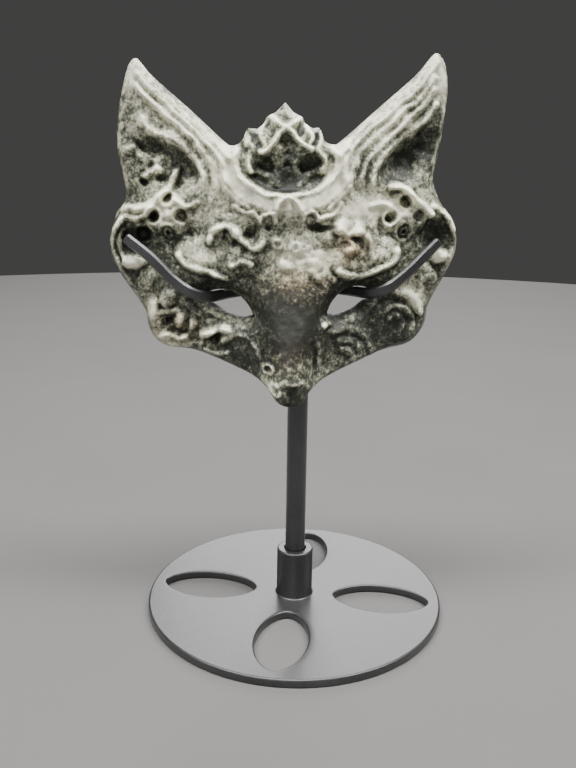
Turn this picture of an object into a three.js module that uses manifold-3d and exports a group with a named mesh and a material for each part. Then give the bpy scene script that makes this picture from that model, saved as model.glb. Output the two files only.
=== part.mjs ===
// A carved stone fox mask that hangs by its eye holes on a small metal stand.
// Millimetres, +Z up. The mask faces -Y. The origin is the centre of the foot plate's underside.
import * as THREE from 'three';
import { mergeVertices } from 'three/addons/utils/BufferGeometryUtils.js';
import Module from 'manifold-3d';

// Stand: plate, collar, rod and the flat bar of the fork.
const PLATE_RADIUS = 45;
const PLATE_THICKNESS = 2.5;
const PLATE_SIDES = 72;
const SLOT_COUNT = 4;
const SLOT_TURN = -10.8;
const SLOT_NEAR = 12.4;
const SLOT_FAR = 41.2;
const SLOT_HALF_WIDTH = 7.5;
const SLOT_FULLNESS = 1.2;
const SLOT_STEPS = 12;
const COLLAR_RADIUS = 5.5;
const COLLAR_TOP = 17.6;
const COLLAR_CHAMFER = 0.5;
const ROD_RADIUS = 3;
const ROUND_SIDES = 32;
const FIT_GAP = 0.3;
const BAR_HEIGHT = 2.9;
const BAR_THICKNESS = 1.6;
const BAR_STEPS = 44;

// Mask: where its back plane stands, how far it leans, and its main depths.
const MASK_X = -3.7;
const MASK_BACK = 3;
const MASK_Z = 109.5;
const MASK_LEAN = 1.8;
const FORK_Z = -12.6;
const FORK_RISE = 0.9;
const MASK_HALF_WIDTH = 50;
const MASK_TOP = 52;
const MASK_BOTTOM = -43;
const RIM_DEPTH = 4.5;
const DOME_DEPTH = 11.5;
const DOME_WIDTH = 30;
const DOME_FADE = 44;
const SNOUT_DEPTH = 11.5;
const NOSE_X = -1;
const WALL = 5.2;
const EDGE_BEVEL = 3;
const FRONT_PITCH = 1.55;
const BACK_PITCH = 3.2;
const CUT_DEPTH = 60;

// Small helpers on numbers and plane curves.
const clamp01 = (t) => Math.min(1, Math.max(0, t));
const mix = (a, b, t) => a + (b - a) * t;
const mixPoint = (p, q, t) => p.map((value, i) => mix(value, q[i], t));
const radians = (degrees) => (degrees * Math.PI) / 180;

function smooth(from, to, value) {
  const t = clamp01((value - from) / (to - from));
  return t * t * (3 - 2 * t);
}

function curveThrough(points, steps = 20) {
  const curve = new THREE.SplineCurve(points.map(([x, z]) => new THREE.Vector2(x, z)));
  return curve.getPoints(steps);
}

function distanceTo(line, x, z) {
  let least = Infinity;
  for (let i = 1; i < line.length; i += 1) {
    const ax = line[i - 1].x;
    const az = line[i - 1].y;
    const dx = line[i].x - ax;
    const dz = line[i].y - az;
    const t = clamp01(((x - ax) * dx + (z - az) * dz) / (dx * dx + dz * dz || 1));
    least = Math.min(least, Math.hypot(x - ax - t * dx, z - az - t * dz));
  }
  return least;
}

// A rounded ridge along a line, an oval mound, and a pointed leaf between two ends.
function ridge(line, halfWidth, height, x, z) {
  const t = distanceTo(line, x, z) / halfWidth;
  return t < 1 ? height * (1 - t * t) : 0;
}

function mound([cx, cz], [rx, rz], turn, height, x, z) {
  const c = Math.cos(radians(turn));
  const s = Math.sin(radians(turn));
  const u = ((x - cx) * c + (z - cz) * s) / rx;
  const v = ((z - cz) * c - (x - cx) * s) / rz;
  const t = u * u + v * v;
  return t < 1 ? height * (1 - t) ** 0.7 : 0;
}

function leaf([ax, az], [bx, bz], above, below, height, x, z) {
  const length = Math.hypot(bx - ax, bz - az);
  const ux = (bx - ax) / length;
  const uz = (bz - az) / length;
  const t = ((x - ax) * ux + (z - az) * uz) / length;
  if (t <= 0 || t >= 1) return 0;
  const across = (z - az) * ux - (x - ax) * uz;
  const half = (across > 0 ? above : below) * Math.sqrt(4 * t * (1 - t));
  return height * smooth(1, 0.6, Math.abs(across) / half);
}

// Outline of the mask in its own plane, each side from the crown's tip down to the nose.
const CROWN_TIP = [0, 37.4];
const NOSE_BOTTOM = [-1, -42];
const RIGHT_CROWN = [[2.2, 34.8], [4.6, 33.5], [5.2, 31.9], [7.2, 30.7], [8.9, 30.9], [9.8, 28.8]];
const RIGHT_EAR = [[10.6, 27.2], [12.6, 26.5], [15, 27.4], [25, 35.6], [35, 43.8], [40.1, 49.8]];
const RIGHT_CHEEK = [
  [43, 45.6], [43.6, 39], [41.8, 24.5], [40.2, 17.5], [42.5, 11], [46, 6.5], [47.6, 0.5], [46.2, -6],
  [40.2, -17], [38.8, -23.3], [34.5, -28.3], [26, -30.4], [11, -36.4], [5.2, -39.2],
];
const LEFT_CROWN = [[-2.5, 35], [-5, 33.8], [-6, 31.9], [-7.6, 30.8], [-10.2, 31], [-11.4, 28.4]];
const LEFT_EAR = [[-12.8, 27], [-14.6, 26.6], [-16.6, 27.8], [-25, 35.7], [-34.5, 44.2], [-38.6, 49.3]];
const LEFT_CHEEK = [
  [-41.6, 45.3], [-44.1, 36], [-45.1, 26.5], [-43.6, 14.5], [-46.8, 9], [-49, 1], [-47, -6],
  [-40.7, -16.5], [-39.4, -22.8], [-35.5, -27.2], [-26, -29], [-12, -35.2], [-7.2, -38.4],
];

function maskOutline() {
  const vectors = (points) => points.map(([x, z]) => new THREE.Vector2(x, z));
  const outline = new THREE.Shape();
  outline.moveTo(...CROWN_TIP);
  RIGHT_CROWN.forEach((point) => outline.lineTo(...point));
  outline.splineThru(vectors(RIGHT_EAR));
  outline.splineThru(vectors(RIGHT_CHEEK));
  outline.splineThru(vectors([[3.2, -41], NOSE_BOTTOM, [-5.2, -41], LEFT_CHEEK.at(-1)]));
  outline.splineThru(vectors([...LEFT_CHEEK.slice(0, -1).reverse(), LEFT_EAR.at(-1)]));
  outline.splineThru(vectors([...LEFT_EAR.slice(0, -1).reverse(), LEFT_CROWN.at(-1)]));
  [...LEFT_CROWN.slice(0, -1).reverse(), CROWN_TIP].forEach((point) => outline.lineTo(...point));
  return outline;
}

// An eye hole is a slanted leaf from its inner corner by the nose to its outer corner.
const EYE_INNER = [9.8, -17];
const EYE_OUTER = [28, -10.5];
const LEFT_EYE_SAG = [23, -12.6];
const RIGHT_EYE_SAG = [24.8, -15.8];

function eyeHole(side) {
  const [sagX, sagZ] = side > 0 ? RIGHT_EYE_SAG : LEFT_EYE_SAG;
  const eye = new THREE.Path();
  eye.moveTo(side * EYE_INNER[0], EYE_INNER[1]);
  eye.bezierCurveTo(side * 11.5, -13.2, side * 14.5, -9.6, side * EYE_OUTER[0], EYE_OUTER[1]);
  eye.bezierCurveTo(side * sagX, sagZ, side * 12.6, -22.2, side * EYE_INNER[0], EYE_INNER[1]);
  return eye;
}

const OUTLINE_STEPS = 4;
const EYE_STEPS = 12;
const outlineLine = maskOutline().getPoints(OUTLINE_STEPS);
const eyeLines = [-1, 1].map((side) => eyeHole(side).getPoints(EYE_STEPS));

// Carving that both halves share, drawn on the right half and mirrored.
const SOCKET_DEPTH = 2.8;
const STRAND_COUNT = 4;
const FIRST_STRAND = [[15, 20.5], [20, 28.6], [30, 37], [38.6, 45.6]];
const LAST_STRAND = [[22.5, 17.5], [27, 25.6], [32.5, 30], [39.5, 36.5]];
const STRANDS = Array.from({ length: STRAND_COUNT }, (_, k) =>
  curveThrough(FIRST_STRAND.map((point, i) => mixPoint(point, LAST_STRAND[i], k / (STRAND_COUNT - 1)))));
const HEADBAND = curveThrough([
  [-17.5, 22], [-14, 16.8], [-8, 12.6], [0, 11.3], [8, 12.6], [14, 16.8], [17.5, 22],
]);
const FLOWER_BAND = curveThrough([[27, 15.8], [31.5, 15.4], [34.6, 12], [38.5, 9.8], [44.5, 7.4]]);
const BROW_CLOUD = curveThrough([[21.4, 1.8], [19.4, 5], [15.2, 5.4], [12, 2.6], [9, 0.8], [6.7, 2.4]]);
const LOWER_LID = curveThrough([[8.6, -18.6], [13.5, -20], [20, -18], [26.4, -12.8]]);
const CHEEK_SCROLL = spiral([15.6, -28.4], 8, 1.6, 1.7, 0);
const FLOWER = { x: 31.8, rightZ: 7.9, leftZ: 9.2, orbit: 4, cup: 2.3, depth: 2.4 };
const EAR_SCOOP = { centre: [32.4, 22.3], radii: [10.4, 6], turn: 34, depth: 3.8 };
const CHEEK_DISH = { centre: [39.6, 1.6], radii: [6.4, 5], turn: -25, depth: 2.2 };
const LOBES = [
  { centre: [42, -3.6], radii: [3.6, 2.6], turn: 0, height: 2.2 },
  { centre: [38.6, -8.6], radii: [4.4, 3.2], turn: -50, height: 1.7 },
  { centre: [33.4, -14.4], radii: [5, 2.6], turn: -20, height: 1.9 },
  { centre: [36.8, -18.4], radii: [4.6, 2.4], turn: 80, height: 1.6 },
  { centre: [31, -20.8], radii: [4.8, 4], turn: -30, height: 1.9 },
  { centre: [28, -26], radii: [5.4, 2.8], turn: 10, height: 1.6 },
];

function spiral([cx, cz], outer, inner, turns, start) {
  const steps = 36;
  return Array.from({ length: steps + 1 }, (_, i) => {
    const angle = radians(start) + (i / steps) * turns * 2 * Math.PI;
    const r = mix(outer, inner, i / steps);
    return new THREE.Vector2(cx + r * Math.cos(angle), cz + r * Math.sin(angle));
  });
}

// The crown's lotus petals from back to front: middle, foot, tip, half width and how far each stands out.
const PETALS = [
  { x: 8.6, foot: 24, tip: 31.4, half: 3.4, rise: 0.4 },
  { x: 4.4, foot: 25, tip: 34.2, half: 3.6, rise: 0.9 },
  { x: 0, foot: 27, tip: 37.6, half: 4.6, rise: 1.3 },
  { x: 5.8, foot: 17.5, tip: 27, half: 4.6, rise: 1.2 },
  { x: 0, foot: 18, tip: 31, half: 4.4, rise: 2 },
  { x: 0, foot: 14, tip: 22.4, half: 3, rise: 2.6 },
];
const CROWN_SINK = 3;

function crownHeight(x, z) {
  let height = 0;
  PETALS.forEach(({ x: middle, foot, tip, half, rise }) => {
    const t = (z - foot) / (tip - foot);
    if (t < -0.1 || t > 1) return;
    const reach = half * Math.sqrt(1 - clamp01(t) ** 2.2);
    const across = Math.abs(Math.abs(x) - middle) / (reach || 1e-6);
    if (across < 1) height = rise - 0.9 * (1 - across * across) * smooth(1, 0.75, t);
  });
  return height;
}

// Smooth form of the face before carving: a dome with a snout that runs down to the nose.
function dome(x, z) {
  const fade = 1 - (Math.max(0, z) / DOME_FADE) ** 2;
  return RIM_DEPTH + DOME_DEPTH * Math.exp(-((x / DOME_WIDTH) ** 2)) * Math.max(0, fade);
}

function snout(x, z) {
  const down = smooth(-2, -37, z);
  const width = mix(9.5, 6.6, down);
  return SNOUT_DEPTH * down * Math.exp(-(Math.abs((x - NOSE_X * down) / width) ** 2.6));
}

// Height of the carved front over the back plane.
function frontHeight(x, z) {
  const a = Math.abs(x);
  let height = dome(x, z) + snout(x, z);

  const inCrown = smooth(13, 9.5, a) * smooth(13, 15.5, z - 0.02 * x * x);
  height += inCrown * (crownHeight(x, z) - CROWN_SINK);
  height += ridge(HEADBAND, 3.2, 2.2, x, z);

  STRANDS.forEach((line) => { height += ridge(line, 1.9, 1.7, a, z); });
  height -= mound(EAR_SCOOP.centre, EAR_SCOOP.radii, EAR_SCOOP.turn, EAR_SCOOP.depth, a, z);

  const flowerZ = x > 0 ? FLOWER.rightZ : FLOWER.leftZ;
  height += mound([FLOWER.x, flowerZ], [7, 6.4], 0, 1.6, a, z);
  for (let k = 0; k < 4; k += 1) {
    const angle = (k * Math.PI) / 2;
    const cup = [FLOWER.x + FLOWER.orbit * Math.cos(angle), flowerZ + FLOWER.orbit * Math.sin(angle)];
    height -= mound(cup, [FLOWER.cup, FLOWER.cup], 0, FLOWER.depth, a, z);
  }
  height += ridge(FLOWER_BAND, 2, 1.7, a, z);

  height += leaf([6, -8.2], [30, -1.2], 6, 4.6, 2, a, z);
  height += ridge(BROW_CLOUD, 1.7, 1.6, a, z);
  const eye = eyeLines[x > 0 ? 1 : 0];
  height -= SOCKET_DEPTH * smooth(4.4, 0.8, distanceTo(eye, x, z));
  height += ridge(LOWER_LID, 2, 1.6, a, z);

  height -= mound(CHEEK_DISH.centre, CHEEK_DISH.radii, CHEEK_DISH.turn, CHEEK_DISH.depth, a, z);
  LOBES.forEach((lobe) => { height += mound(lobe.centre, lobe.radii, lobe.turn, lobe.height, a, z); });
  height += ridge(CHEEK_SCROLL, 1.7, 1.7, a, z);

  height -= ridge([new THREE.Vector2(-7, -33.4), new THREE.Vector2(5, -33.4)], 1.4, 1.2, x, z);
  const inward = distanceTo(outlineLine, x, z) * (insideOutline(x, z) ? 1 : -1);
  return Math.max(2, height) * mix(0.4, 1, clamp01((inward + EDGE_BEVEL) / (2 * EDGE_BEVEL)));
}

// Depth of the hollow at the back: it follows the dome, keeps a rim all round and is open under the nose.
const CHIN_X = 2.6;

function hollowDepth(x, z) {
  const fromEdge = smooth(3, 9, distanceTo(outlineLine, x, z)) * insideOutline(x, z);
  const chin = smooth(15, 9, Math.abs(x - CHIN_X)) * smooth(-18, -27, z);
  const belowEars = smooth(23, 12, z);
  return Math.max(0, dome(x, z) - WALL) * Math.max(fromEdge * belowEars, 0.8 * chin);
}

function insideOutline(x, z) {
  let inside = 0;
  outlineLine.forEach((q, i) => {
    const p = outlineLine[(i || outlineLine.length) - 1];
    if (p.y > z !== q.y > z && x < p.x + ((q.x - p.x) * (z - p.y)) / (q.y - p.y)) inside = 1 - inside;
  });
  return inside;
}

// Closed geometries become solids for joining and cutting, and come back as geometries.
const wasm = await Module();
wasm.setup();

function solidOf(geometry) {
  const bare = geometry.clone();
  bare.deleteAttribute('normal');
  bare.deleteAttribute('uv');
  const merged = mergeVertices(bare);
  const triVerts = Uint32Array.from(merged.index.array);
  const vertProperties = Float32Array.from(merged.attributes.position.array);
  return new wasm.Manifold(new wasm.Mesh({ numProp: 3, vertProperties, triVerts }));
}

function geometryOf(solid) {
  const { vertProperties, triVerts } = solid.getMesh();
  const geometry = new THREE.BufferGeometry();
  geometry.setAttribute('position', new THREE.BufferAttribute(vertProperties, 3));
  geometry.setIndex(new THREE.BufferAttribute(triVerts, 1));
  geometry.computeVertexNormals();
  return geometry;
}

// A slab over the mask's plane whose front stands at a height that varies from place to place.
function reliefSlab(pitch, heightAt, backY) {
  const width = 2 * MASK_HALF_WIDTH;
  const tall = MASK_TOP - MASK_BOTTOM;
  const slab = new THREE.BoxGeometry(width, 2, tall, Math.round(width / pitch), 1, Math.round(tall / pitch));
  slab.translate(0, 0, (MASK_TOP + MASK_BOTTOM) / 2);
  const place = slab.attributes.position;
  for (let i = 0; i < place.count; i += 1) {
    const front = place.getY(i) < 0;
    place.setY(i, front ? -heightAt(place.getX(i), place.getZ(i)) : backY);
  }
  return solidOf(slab);
}

function maskGeometry() {
  const outline = maskOutline();
  const prism = (shape, steps) => {
    const options = { depth: CUT_DEPTH, bevelEnabled: false, curveSegments: steps };
    const block = new THREE.ExtrudeGeometry(shape, options);
    block.rotateX(Math.PI / 2);
    return block.translate(0, CUT_DEPTH / 3, 0);
  };
  let solid = reliefSlab(FRONT_PITCH, frontHeight, 4).intersect(solidOf(prism(outline, OUTLINE_STEPS)));
  solid = solid.subtract(reliefSlab(BACK_PITCH, hollowDepth, 8));
  [-1, 1].forEach((side) => {
    const eye = new THREE.Shape(eyeHole(side).getPoints(EYE_STEPS));
    solid = solid.subtract(solidOf(prism(eye, 1)));
  });
  return geometryOf(solid);
}

// Stand pieces.
function plateGeometry() {
  const ring = (radius, sides) => Array.from({ length: sides }, (_, i) => {
    const angle = (i / sides) * 2 * Math.PI;
    return new THREE.Vector2(radius * Math.cos(angle), radius * Math.sin(angle));
  });
  const plate = new THREE.Shape(ring(PLATE_RADIUS, PLATE_SIDES));
  for (let k = 0; k < SLOT_COUNT; k += 1) {
    const turn = radians(SLOT_TURN + (k * 360) / SLOT_COUNT);
    const points = Array.from({ length: 2 * SLOT_STEPS }, (_, i) => {
      const angle = (i / SLOT_STEPS) * Math.PI;
      const swell = Math.abs(Math.sin(angle)) ** SLOT_FULLNESS;
      const across = SLOT_HALF_WIDTH * Math.sign(SLOT_STEPS - i) * swell;
      const along = mix(SLOT_NEAR, SLOT_FAR, (1 - Math.cos(angle)) / 2);
      return new THREE.Vector2(along, across).rotateAround(new THREE.Vector2(), turn);
    });
    plate.holes.push(new THREE.Path(points));
  }
  return new THREE.ExtrudeGeometry(plate, { depth: PLATE_THICKNESS, bevelEnabled: false });
}

function collarGeometry() {
  const bore = ROD_RADIUS + FIT_GAP;
  const profile = [
    [bore, PLATE_THICKNESS], [COLLAR_RADIUS, PLATE_THICKNESS], [COLLAR_RADIUS, COLLAR_TOP - COLLAR_CHAMFER],
    [COLLAR_RADIUS - COLLAR_CHAMFER, COLLAR_TOP], [bore, COLLAR_TOP], [bore, PLATE_THICKNESS],
  ];
  const points = profile.map(([r, z]) => new THREE.Vector2(r, z));
  return new THREE.LatheGeometry(points, ROUND_SIDES).rotateX(Math.PI / 2);
}

function rodGeometry() {
  const top = MASK_Z + FORK_Z + FORK_RISE - BAR_HEIGHT / 2 - FIT_GAP;
  const length = top - PLATE_THICKNESS;
  const rod = new THREE.CylinderGeometry(ROD_RADIUS, ROD_RADIUS, length, ROUND_SIDES);
  return rod.rotateX(Math.PI / 2).translate(0, 0, PLATE_THICKNESS + length / 2);
}

// The fork's centre line in the mask's frame, from the left tip to the right: x, height over the back, z.
const FORK_LEFT = [[-43.2, 9.4, 3.2], [-36.6, 10.8, -2.2], [-30.6, 12.6, -8.2], [-26.4, 13, -11.2]];
const FORK_MIDDLE = [
  [-22, 11.2, 0], [-16, 5.5, 0.1], [-9, 3.2, 0.7], [0, 3, FORK_RISE], [3.7, 3, FORK_RISE],
  [7.4, 3, FORK_RISE], [10, 3.2, 0.7], [16, 5.5, 0.1], [22, 11.2, 0],
].map(([x, p, rise]) => [x, p, FORK_Z + rise]);
const FORK_RIGHT = [[26.4, 13, -11.2], [30.8, 12.6, -8.1], [36, 10.8, -3.7], [40.8, 9.4, 0.5]];

function forkGeometry() {
  const points = [...FORK_LEFT, ...FORK_MIDDLE, ...FORK_RIGHT];
  const line = new THREE.CatmullRomCurve3(points.map(([x, p, z]) => new THREE.Vector3(x, -p, z)));
  const bar = new THREE.BoxGeometry(1, BAR_THICKNESS, BAR_HEIGHT, BAR_STEPS, 1, 1);
  const place = bar.attributes.position;
  const up = new THREE.Vector3();
  const out = new THREE.Vector3();
  for (let i = 0; i < place.count; i += 1) {
    const t = clamp01(place.getX(i) + 0.5);
    const along = line.getTangentAt(t);
    up.set(0, 0, 1).addScaledVector(along, -along.z).normalize();
    out.crossVectors(up, along);
    const point = line.getPointAt(t).addScaledVector(up, place.getZ(i)).addScaledVector(out, place.getY(i));
    place.setXYZ(i, point.x, point.y, point.z);
  }
  bar.computeVertexNormals();
  return bar;
}

// Scene graph: the stand's pieces stand upright, the mask and the fork share the mask's lean.
const stone = new THREE.MeshStandardMaterial({ color: 0x4a4d46, roughness: 0.35, metalness: 0 });
const blackMetal = new THREE.MeshStandardMaterial({ color: 0x1d1e20, roughness: 0.55, metalness: 0.3 });

function named(name, geometry, material) {
  const mesh = new THREE.Mesh(geometry, material.clone());
  mesh.name = name;
  return mesh;
}

const leaning = new THREE.Group();
leaning.position.set(MASK_X, MASK_BACK, MASK_Z);
leaning.rotation.y = -radians(MASK_LEAN);
leaning.add(named('mask', maskGeometry(), stone));
leaning.add(named('stand_fork', forkGeometry(), blackMetal));

const foxMaskOnStand = new THREE.Group();
foxMaskOnStand.add(named('stand_base', plateGeometry(), blackMetal));
foxMaskOnStand.add(named('stand_collar', collarGeometry(), blackMetal));
foxMaskOnStand.add(named('stand_rod', rodGeometry(), blackMetal));
foxMaskOnStand.add(leaning);

export default foxMaskOnStand;
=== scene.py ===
"""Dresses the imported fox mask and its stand: carved mottled stone, black coated metal and a plain studio.

Shapes are worked out in millimetres. The mask has a plane of its own: x to the viewer's right, z up and p out
of its flat back towards the viewer. The stand's pieces are worked out in the frame of the whole part.
"""
import math

import bpy
import numpy as np
from mathutils import Matrix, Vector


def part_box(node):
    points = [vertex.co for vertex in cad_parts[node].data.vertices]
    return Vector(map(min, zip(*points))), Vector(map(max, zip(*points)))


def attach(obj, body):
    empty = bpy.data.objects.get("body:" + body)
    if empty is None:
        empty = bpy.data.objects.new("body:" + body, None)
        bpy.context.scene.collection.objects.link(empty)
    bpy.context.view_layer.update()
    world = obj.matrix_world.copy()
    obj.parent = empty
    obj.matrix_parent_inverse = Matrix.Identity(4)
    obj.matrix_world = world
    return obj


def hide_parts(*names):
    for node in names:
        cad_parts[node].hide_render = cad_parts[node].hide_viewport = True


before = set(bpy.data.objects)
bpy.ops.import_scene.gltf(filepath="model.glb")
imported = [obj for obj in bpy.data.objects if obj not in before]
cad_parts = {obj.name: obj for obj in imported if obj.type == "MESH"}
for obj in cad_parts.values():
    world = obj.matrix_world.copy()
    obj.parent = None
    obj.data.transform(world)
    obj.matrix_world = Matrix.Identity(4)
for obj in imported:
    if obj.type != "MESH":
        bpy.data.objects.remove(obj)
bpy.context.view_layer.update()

bl_info = {
    "name": "Fox mask on its stand",
    "version": (1, 0, 0),
    "blender": (4, 5, 0),
    "location": "3D View > Sidebar > Fox mask",
    "description": "Builds a carved stone fox mask, the metal stand it hangs on and a plain studio",
    "category": "Add Mesh",
}

BODY = "root"
MM = 0.001

# Where the mask's plane stands in the part: middle, back plane and lean.
MASK_X, MASK_BACK, MASK_Z = -3.7, 3.0, 109.5
MASK_LEAN = math.radians(1.8)

# Outline of the mask, each side from the crown's tip down to the nose.
CROWN_TIP = [0, 37.4]
NOSE_BOTTOM = [-1, -42]
RIGHT_CROWN = [[2.2, 34.8], [4.6, 33.5], [5.2, 31.9], [7.2, 30.7], [8.9, 30.9], [9.8, 28.8]]
RIGHT_EAR = [[10.6, 27.2], [12.6, 26.5], [15, 27.4], [25, 35.6], [35, 43.8], [38.8, 48], [40.2, 49.3]]
RIGHT_CHEEK = [
    [41.6, 48.6], [43, 45.6], [43.6, 39], [41.8, 24.5], [40.2, 17.5], [42.5, 11], [46, 6.5], [47.6, 0.5],
    [46.2, -6], [40.2, -17], [38.8, -23.3], [34.5, -28.3], [26, -30.4], [11, -36.4], [5.2, -39.2],
]
LEFT_CROWN = [[-2.5, 35], [-5, 33.8], [-6, 31.9], [-7.6, 30.8], [-10.2, 31], [-11.4, 28.4]]
LEFT_EAR = [
    [-12.8, 27], [-14.6, 26.6], [-16.6, 27.8], [-25, 35.7], [-34.5, 44.2], [-37.4, 47.6], [-38.7, 48.9],
]
LEFT_CHEEK = [
    [-40.1, 48.1], [-41.6, 45.3], [-44.1, 36], [-45.1, 26.5], [-43.6, 14.5], [-46.8, 9], [-49, 1], [-47, -6],
    [-40.7, -16.5], [-39.4, -22.8], [-35.5, -27.2], [-26, -29], [-12, -35.2], [-7.2, -38.4],
]
EYE_TOP = [
    [10, -18], [11.2, -15.4], [13.4, -12.9], [16.2, -11.3], [18.8, -11.03], [21.2, -11.5], [23.6, -12.9],
]
EYE_LOW = [
    [23.6, -12.9], [22.4, -14.1], [20.4, -15.1], [18.2, -16.7], [15.4, -17.9], [12.6, -18.5], [10, -18],
]

# Main depths of the face.
RIM_DEPTH, DOME_DEPTH, DOME_WIDTH, DOME_FADE = 4.5, 11.5, 30.0, 44.0
SNOUT_DEPTH, NOSE_X, SNOUT_FLATNESS = 11.5, -1.0, 2.6
SNOUT_SPAN, SNOUT_WIDTHS = (-2.0, -37.0), (9.5, 6.6)
WALL, CHIN_X, CHIN_SHARE = 5.2, 2.6, 0.8
CHIN_SIDES, CHIN_TOP = (15.0, 9.0), (-18.0, -27.0)
HOLLOW_RIM, HOLLOW_TOP = (3.0, 9.0), (23.0, 12.0)
RIM_ROUND, RIM_SHARE, EYE_ROUND, LEAST_HEIGHT = 2.6, 0.42, 1.3, 2.0
SOCKET_DEPTH, SOCKET_REACH = 2.8, (4.4, 0.8)

# Box of the mask's plane, box that holds an eye hole on either side, and the grids in them.
MASK_LOW, MASK_HIGH = (-50.2, -43.2), (49.4, 51.0)
EYE_MIDDLE, EYE_REACH = (19.0, -14.0), (16.0, 12.0)
CARVE_MARGIN, CARVE_PITCH = 6.0, 0.3
SNAP_REACH, SLOPE_STEP, LEAST_SLOPE = 0.34, 0.05, 0.25

# Unevenness of the handwork. Noises are given as strength, cell and seed.
SHAKE, LEAST_SHAKE, SHAKE_CELL, SHAKE_SEEDS = 0.9, 0.3, 3.1, (11, 13)
SWELL, GRAIN = (0.42, 3.3, 17), (0.07, 0.8, 7)
LEAST_ROUGH, KNOBS = 0.15, ((1.0, 2.5, 3), (0.6, 1.2, 5))
# CREST_NEAR, CREST_FAR and CREST_GAINS set the carving's height over two broader blurs of itself, used for
# the painted highlight on crests and painted shade in hollows.
CARVE_SOFT, CREST_NEAR, CREST_FAR = 0.16, 0.7, 2.6
CREST_GAINS = (0.32, 0.11)

# How strongly each kind of carving stands out.
STRAND_START, STRAND_CREST, EAR_POWER = (11.5, 18.0), 1.0, 1.4
CROWN_GAIN, FLOWER_GAIN, TRIM_GAIN, MOUND_GAIN, RING_GAIN = 1.35, 1.3, 1.2, 1.25, 1.6
BAND_HEIGHT, BAND_EDGE, BAND_REACH = 1.5, (2.6, 1.2), 3.0

# Ridges by place: points along the crest, half width, height.
STRANDS = [
    ([[13.6, 23.6], [16.2, 27], [20.5, 30.7], [25.4, 34.6], [30.4, 38.4], [35.4, 42.6],
      [39.4, 48]], 1.5, 1.2),
    ([[15, 15.4], [14.9, 20.6], [17.3, 25.4], [21, 29], [25.4, 32.7], [30.4, 36.5], [35.4, 40.8],
      [39.6, 46.4]], 1.35, 1.5),
    ([[17, 12], [16.4, 17.2], [18.4, 22.8], [21.6, 26.6], [25.8, 30.2], [30.6, 34], [35.6, 38.4],
      [39.2, 43]], 1.45, 1.6),
    ([[19.8, 12], [19.2, 17.2], [21, 21.6], [24.2, 25.2], [28, 28.6], [32, 32.2], [36, 36.2],
      [38.8, 40]], 1.45, 1.4),
    ([[23.2, 12.4], [22.4, 17.4], [23.6, 20.6], [26, 23.6], [29.4, 26.6], [33.4, 29.6], [37, 32.4],
      [39.8, 36]], 1.5, 1.9),
    ([[-15.6, 23.6], [-18.2, 27.4], [-21.8, 30.8], [-26, 34.6], [-30.8, 38.8], [-35, 43],
      [-38, 47.6]], 1.5, 1.2),
    ([[-16.4, 14], [-16.9, 20.4], [-19, 25], [-22.4, 29], [-26.6, 33], [-31, 36.8], [-35, 40.8],
      [-38, 45]], 1.35, 1.5),
    ([[-18.8, 13], [-19.2, 19.6], [-20.8, 23.6], [-23.8, 27.4], [-27.8, 31.2], [-32, 34.8], [-36, 38.6],
      [-38.6, 42]], 1.45, 1.5),
    ([[-22.8, 12], [-22.4, 18.4], [-23.6, 22.4], [-26.4, 25.8], [-30.2, 28.4], [-34.2, 30.2],
      [-37.8, 32.8]], 1.6, 1.8),
    ([[42.6, 43], [42.8, 37], [41.6, 28.5], [40.2, 22], [39.8, 17.6]], 1.1, 0.8),
    ([[-42.6, 37], [-43.9, 29], [-43.6, 21], [-42.6, 15]], 1.1, 0.8),
]
HEADBAND = [[-14.6, 26.4], [-16, 21.4], [-12.6, 15.4], [-8, 12.7], [0, 11.5], [8, 12.7], [12.2, 15.4],
            [15.4, 21.4], [14, 26]]
BAND_EDGES = [
    ([[-12.9, 26], [-13.8, 22.2], [-12, 18.2], [-7.4, 15.1], [0, 13.9], [7.2, 15.1], [11.6, 18.2],
      [13.2, 22.2], [12.3, 25.6]], 0.9, 1.3),
    ([[-16.4, 15.6], [-13.4, 12.4], [-10.4, 10.4]], 0.8, 0.9),
    ([[15.8, 15.6], [13, 12.4], [10.2, 10.4]], 0.8, 0.9),
]
CROWN_RIDGES = [
    ([[-3.8, 34], [-2, 32], [0, 31.1], [2, 32], [3.6, 33.4]], 0.85, 1.4),
    ([[0, 31.1], [-2, 28.9], [-4.2, 26.2], [-7, 24.9]], 1.0, 1.7),
    ([[0, 31.1], [1.9, 28.9], [3.9, 26.4], [6.6, 25.2]], 1.0, 1.7),
    ([[-6, 31.6], [-7, 28.8], [-6, 26.2]], 0.8, 1.2),
    ([[5.4, 31.4], [6.4, 28.6], [5.6, 26.2]], 0.8, 1.2),
    ([[-10.6, 30], [-10.4, 27], [-9, 25.2], [-10.4, 22.4], [-9.4, 19.4]], 0.9, 1.3),
    ([[9.2, 29.6], [9.3, 27], [8.2, 25], [9.6, 22.4], [8.8, 19.4]], 0.9, 1.3),
    ([[-2.7, 18.4], [-2.3, 20.8], [0, 22.6], [2.3, 20.8], [2.7, 18.4]], 1.1, 0.6),
    ([[-7, 24.9], [-3.6, 23.2], [-2.3, 20.8]], 1.1, 0.7),
    ([[6.6, 25.2], [3.6, 23.2], [2.3, 20.8]], 1.1, 0.7),
    ([[-8.6, 20.6], [-5.4, 18.9], [-3, 17]], 1.2, 0.5),
    ([[8.2, 20.6], [5.2, 18.9], [3, 17]], 1.2, 0.5),
]
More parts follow.
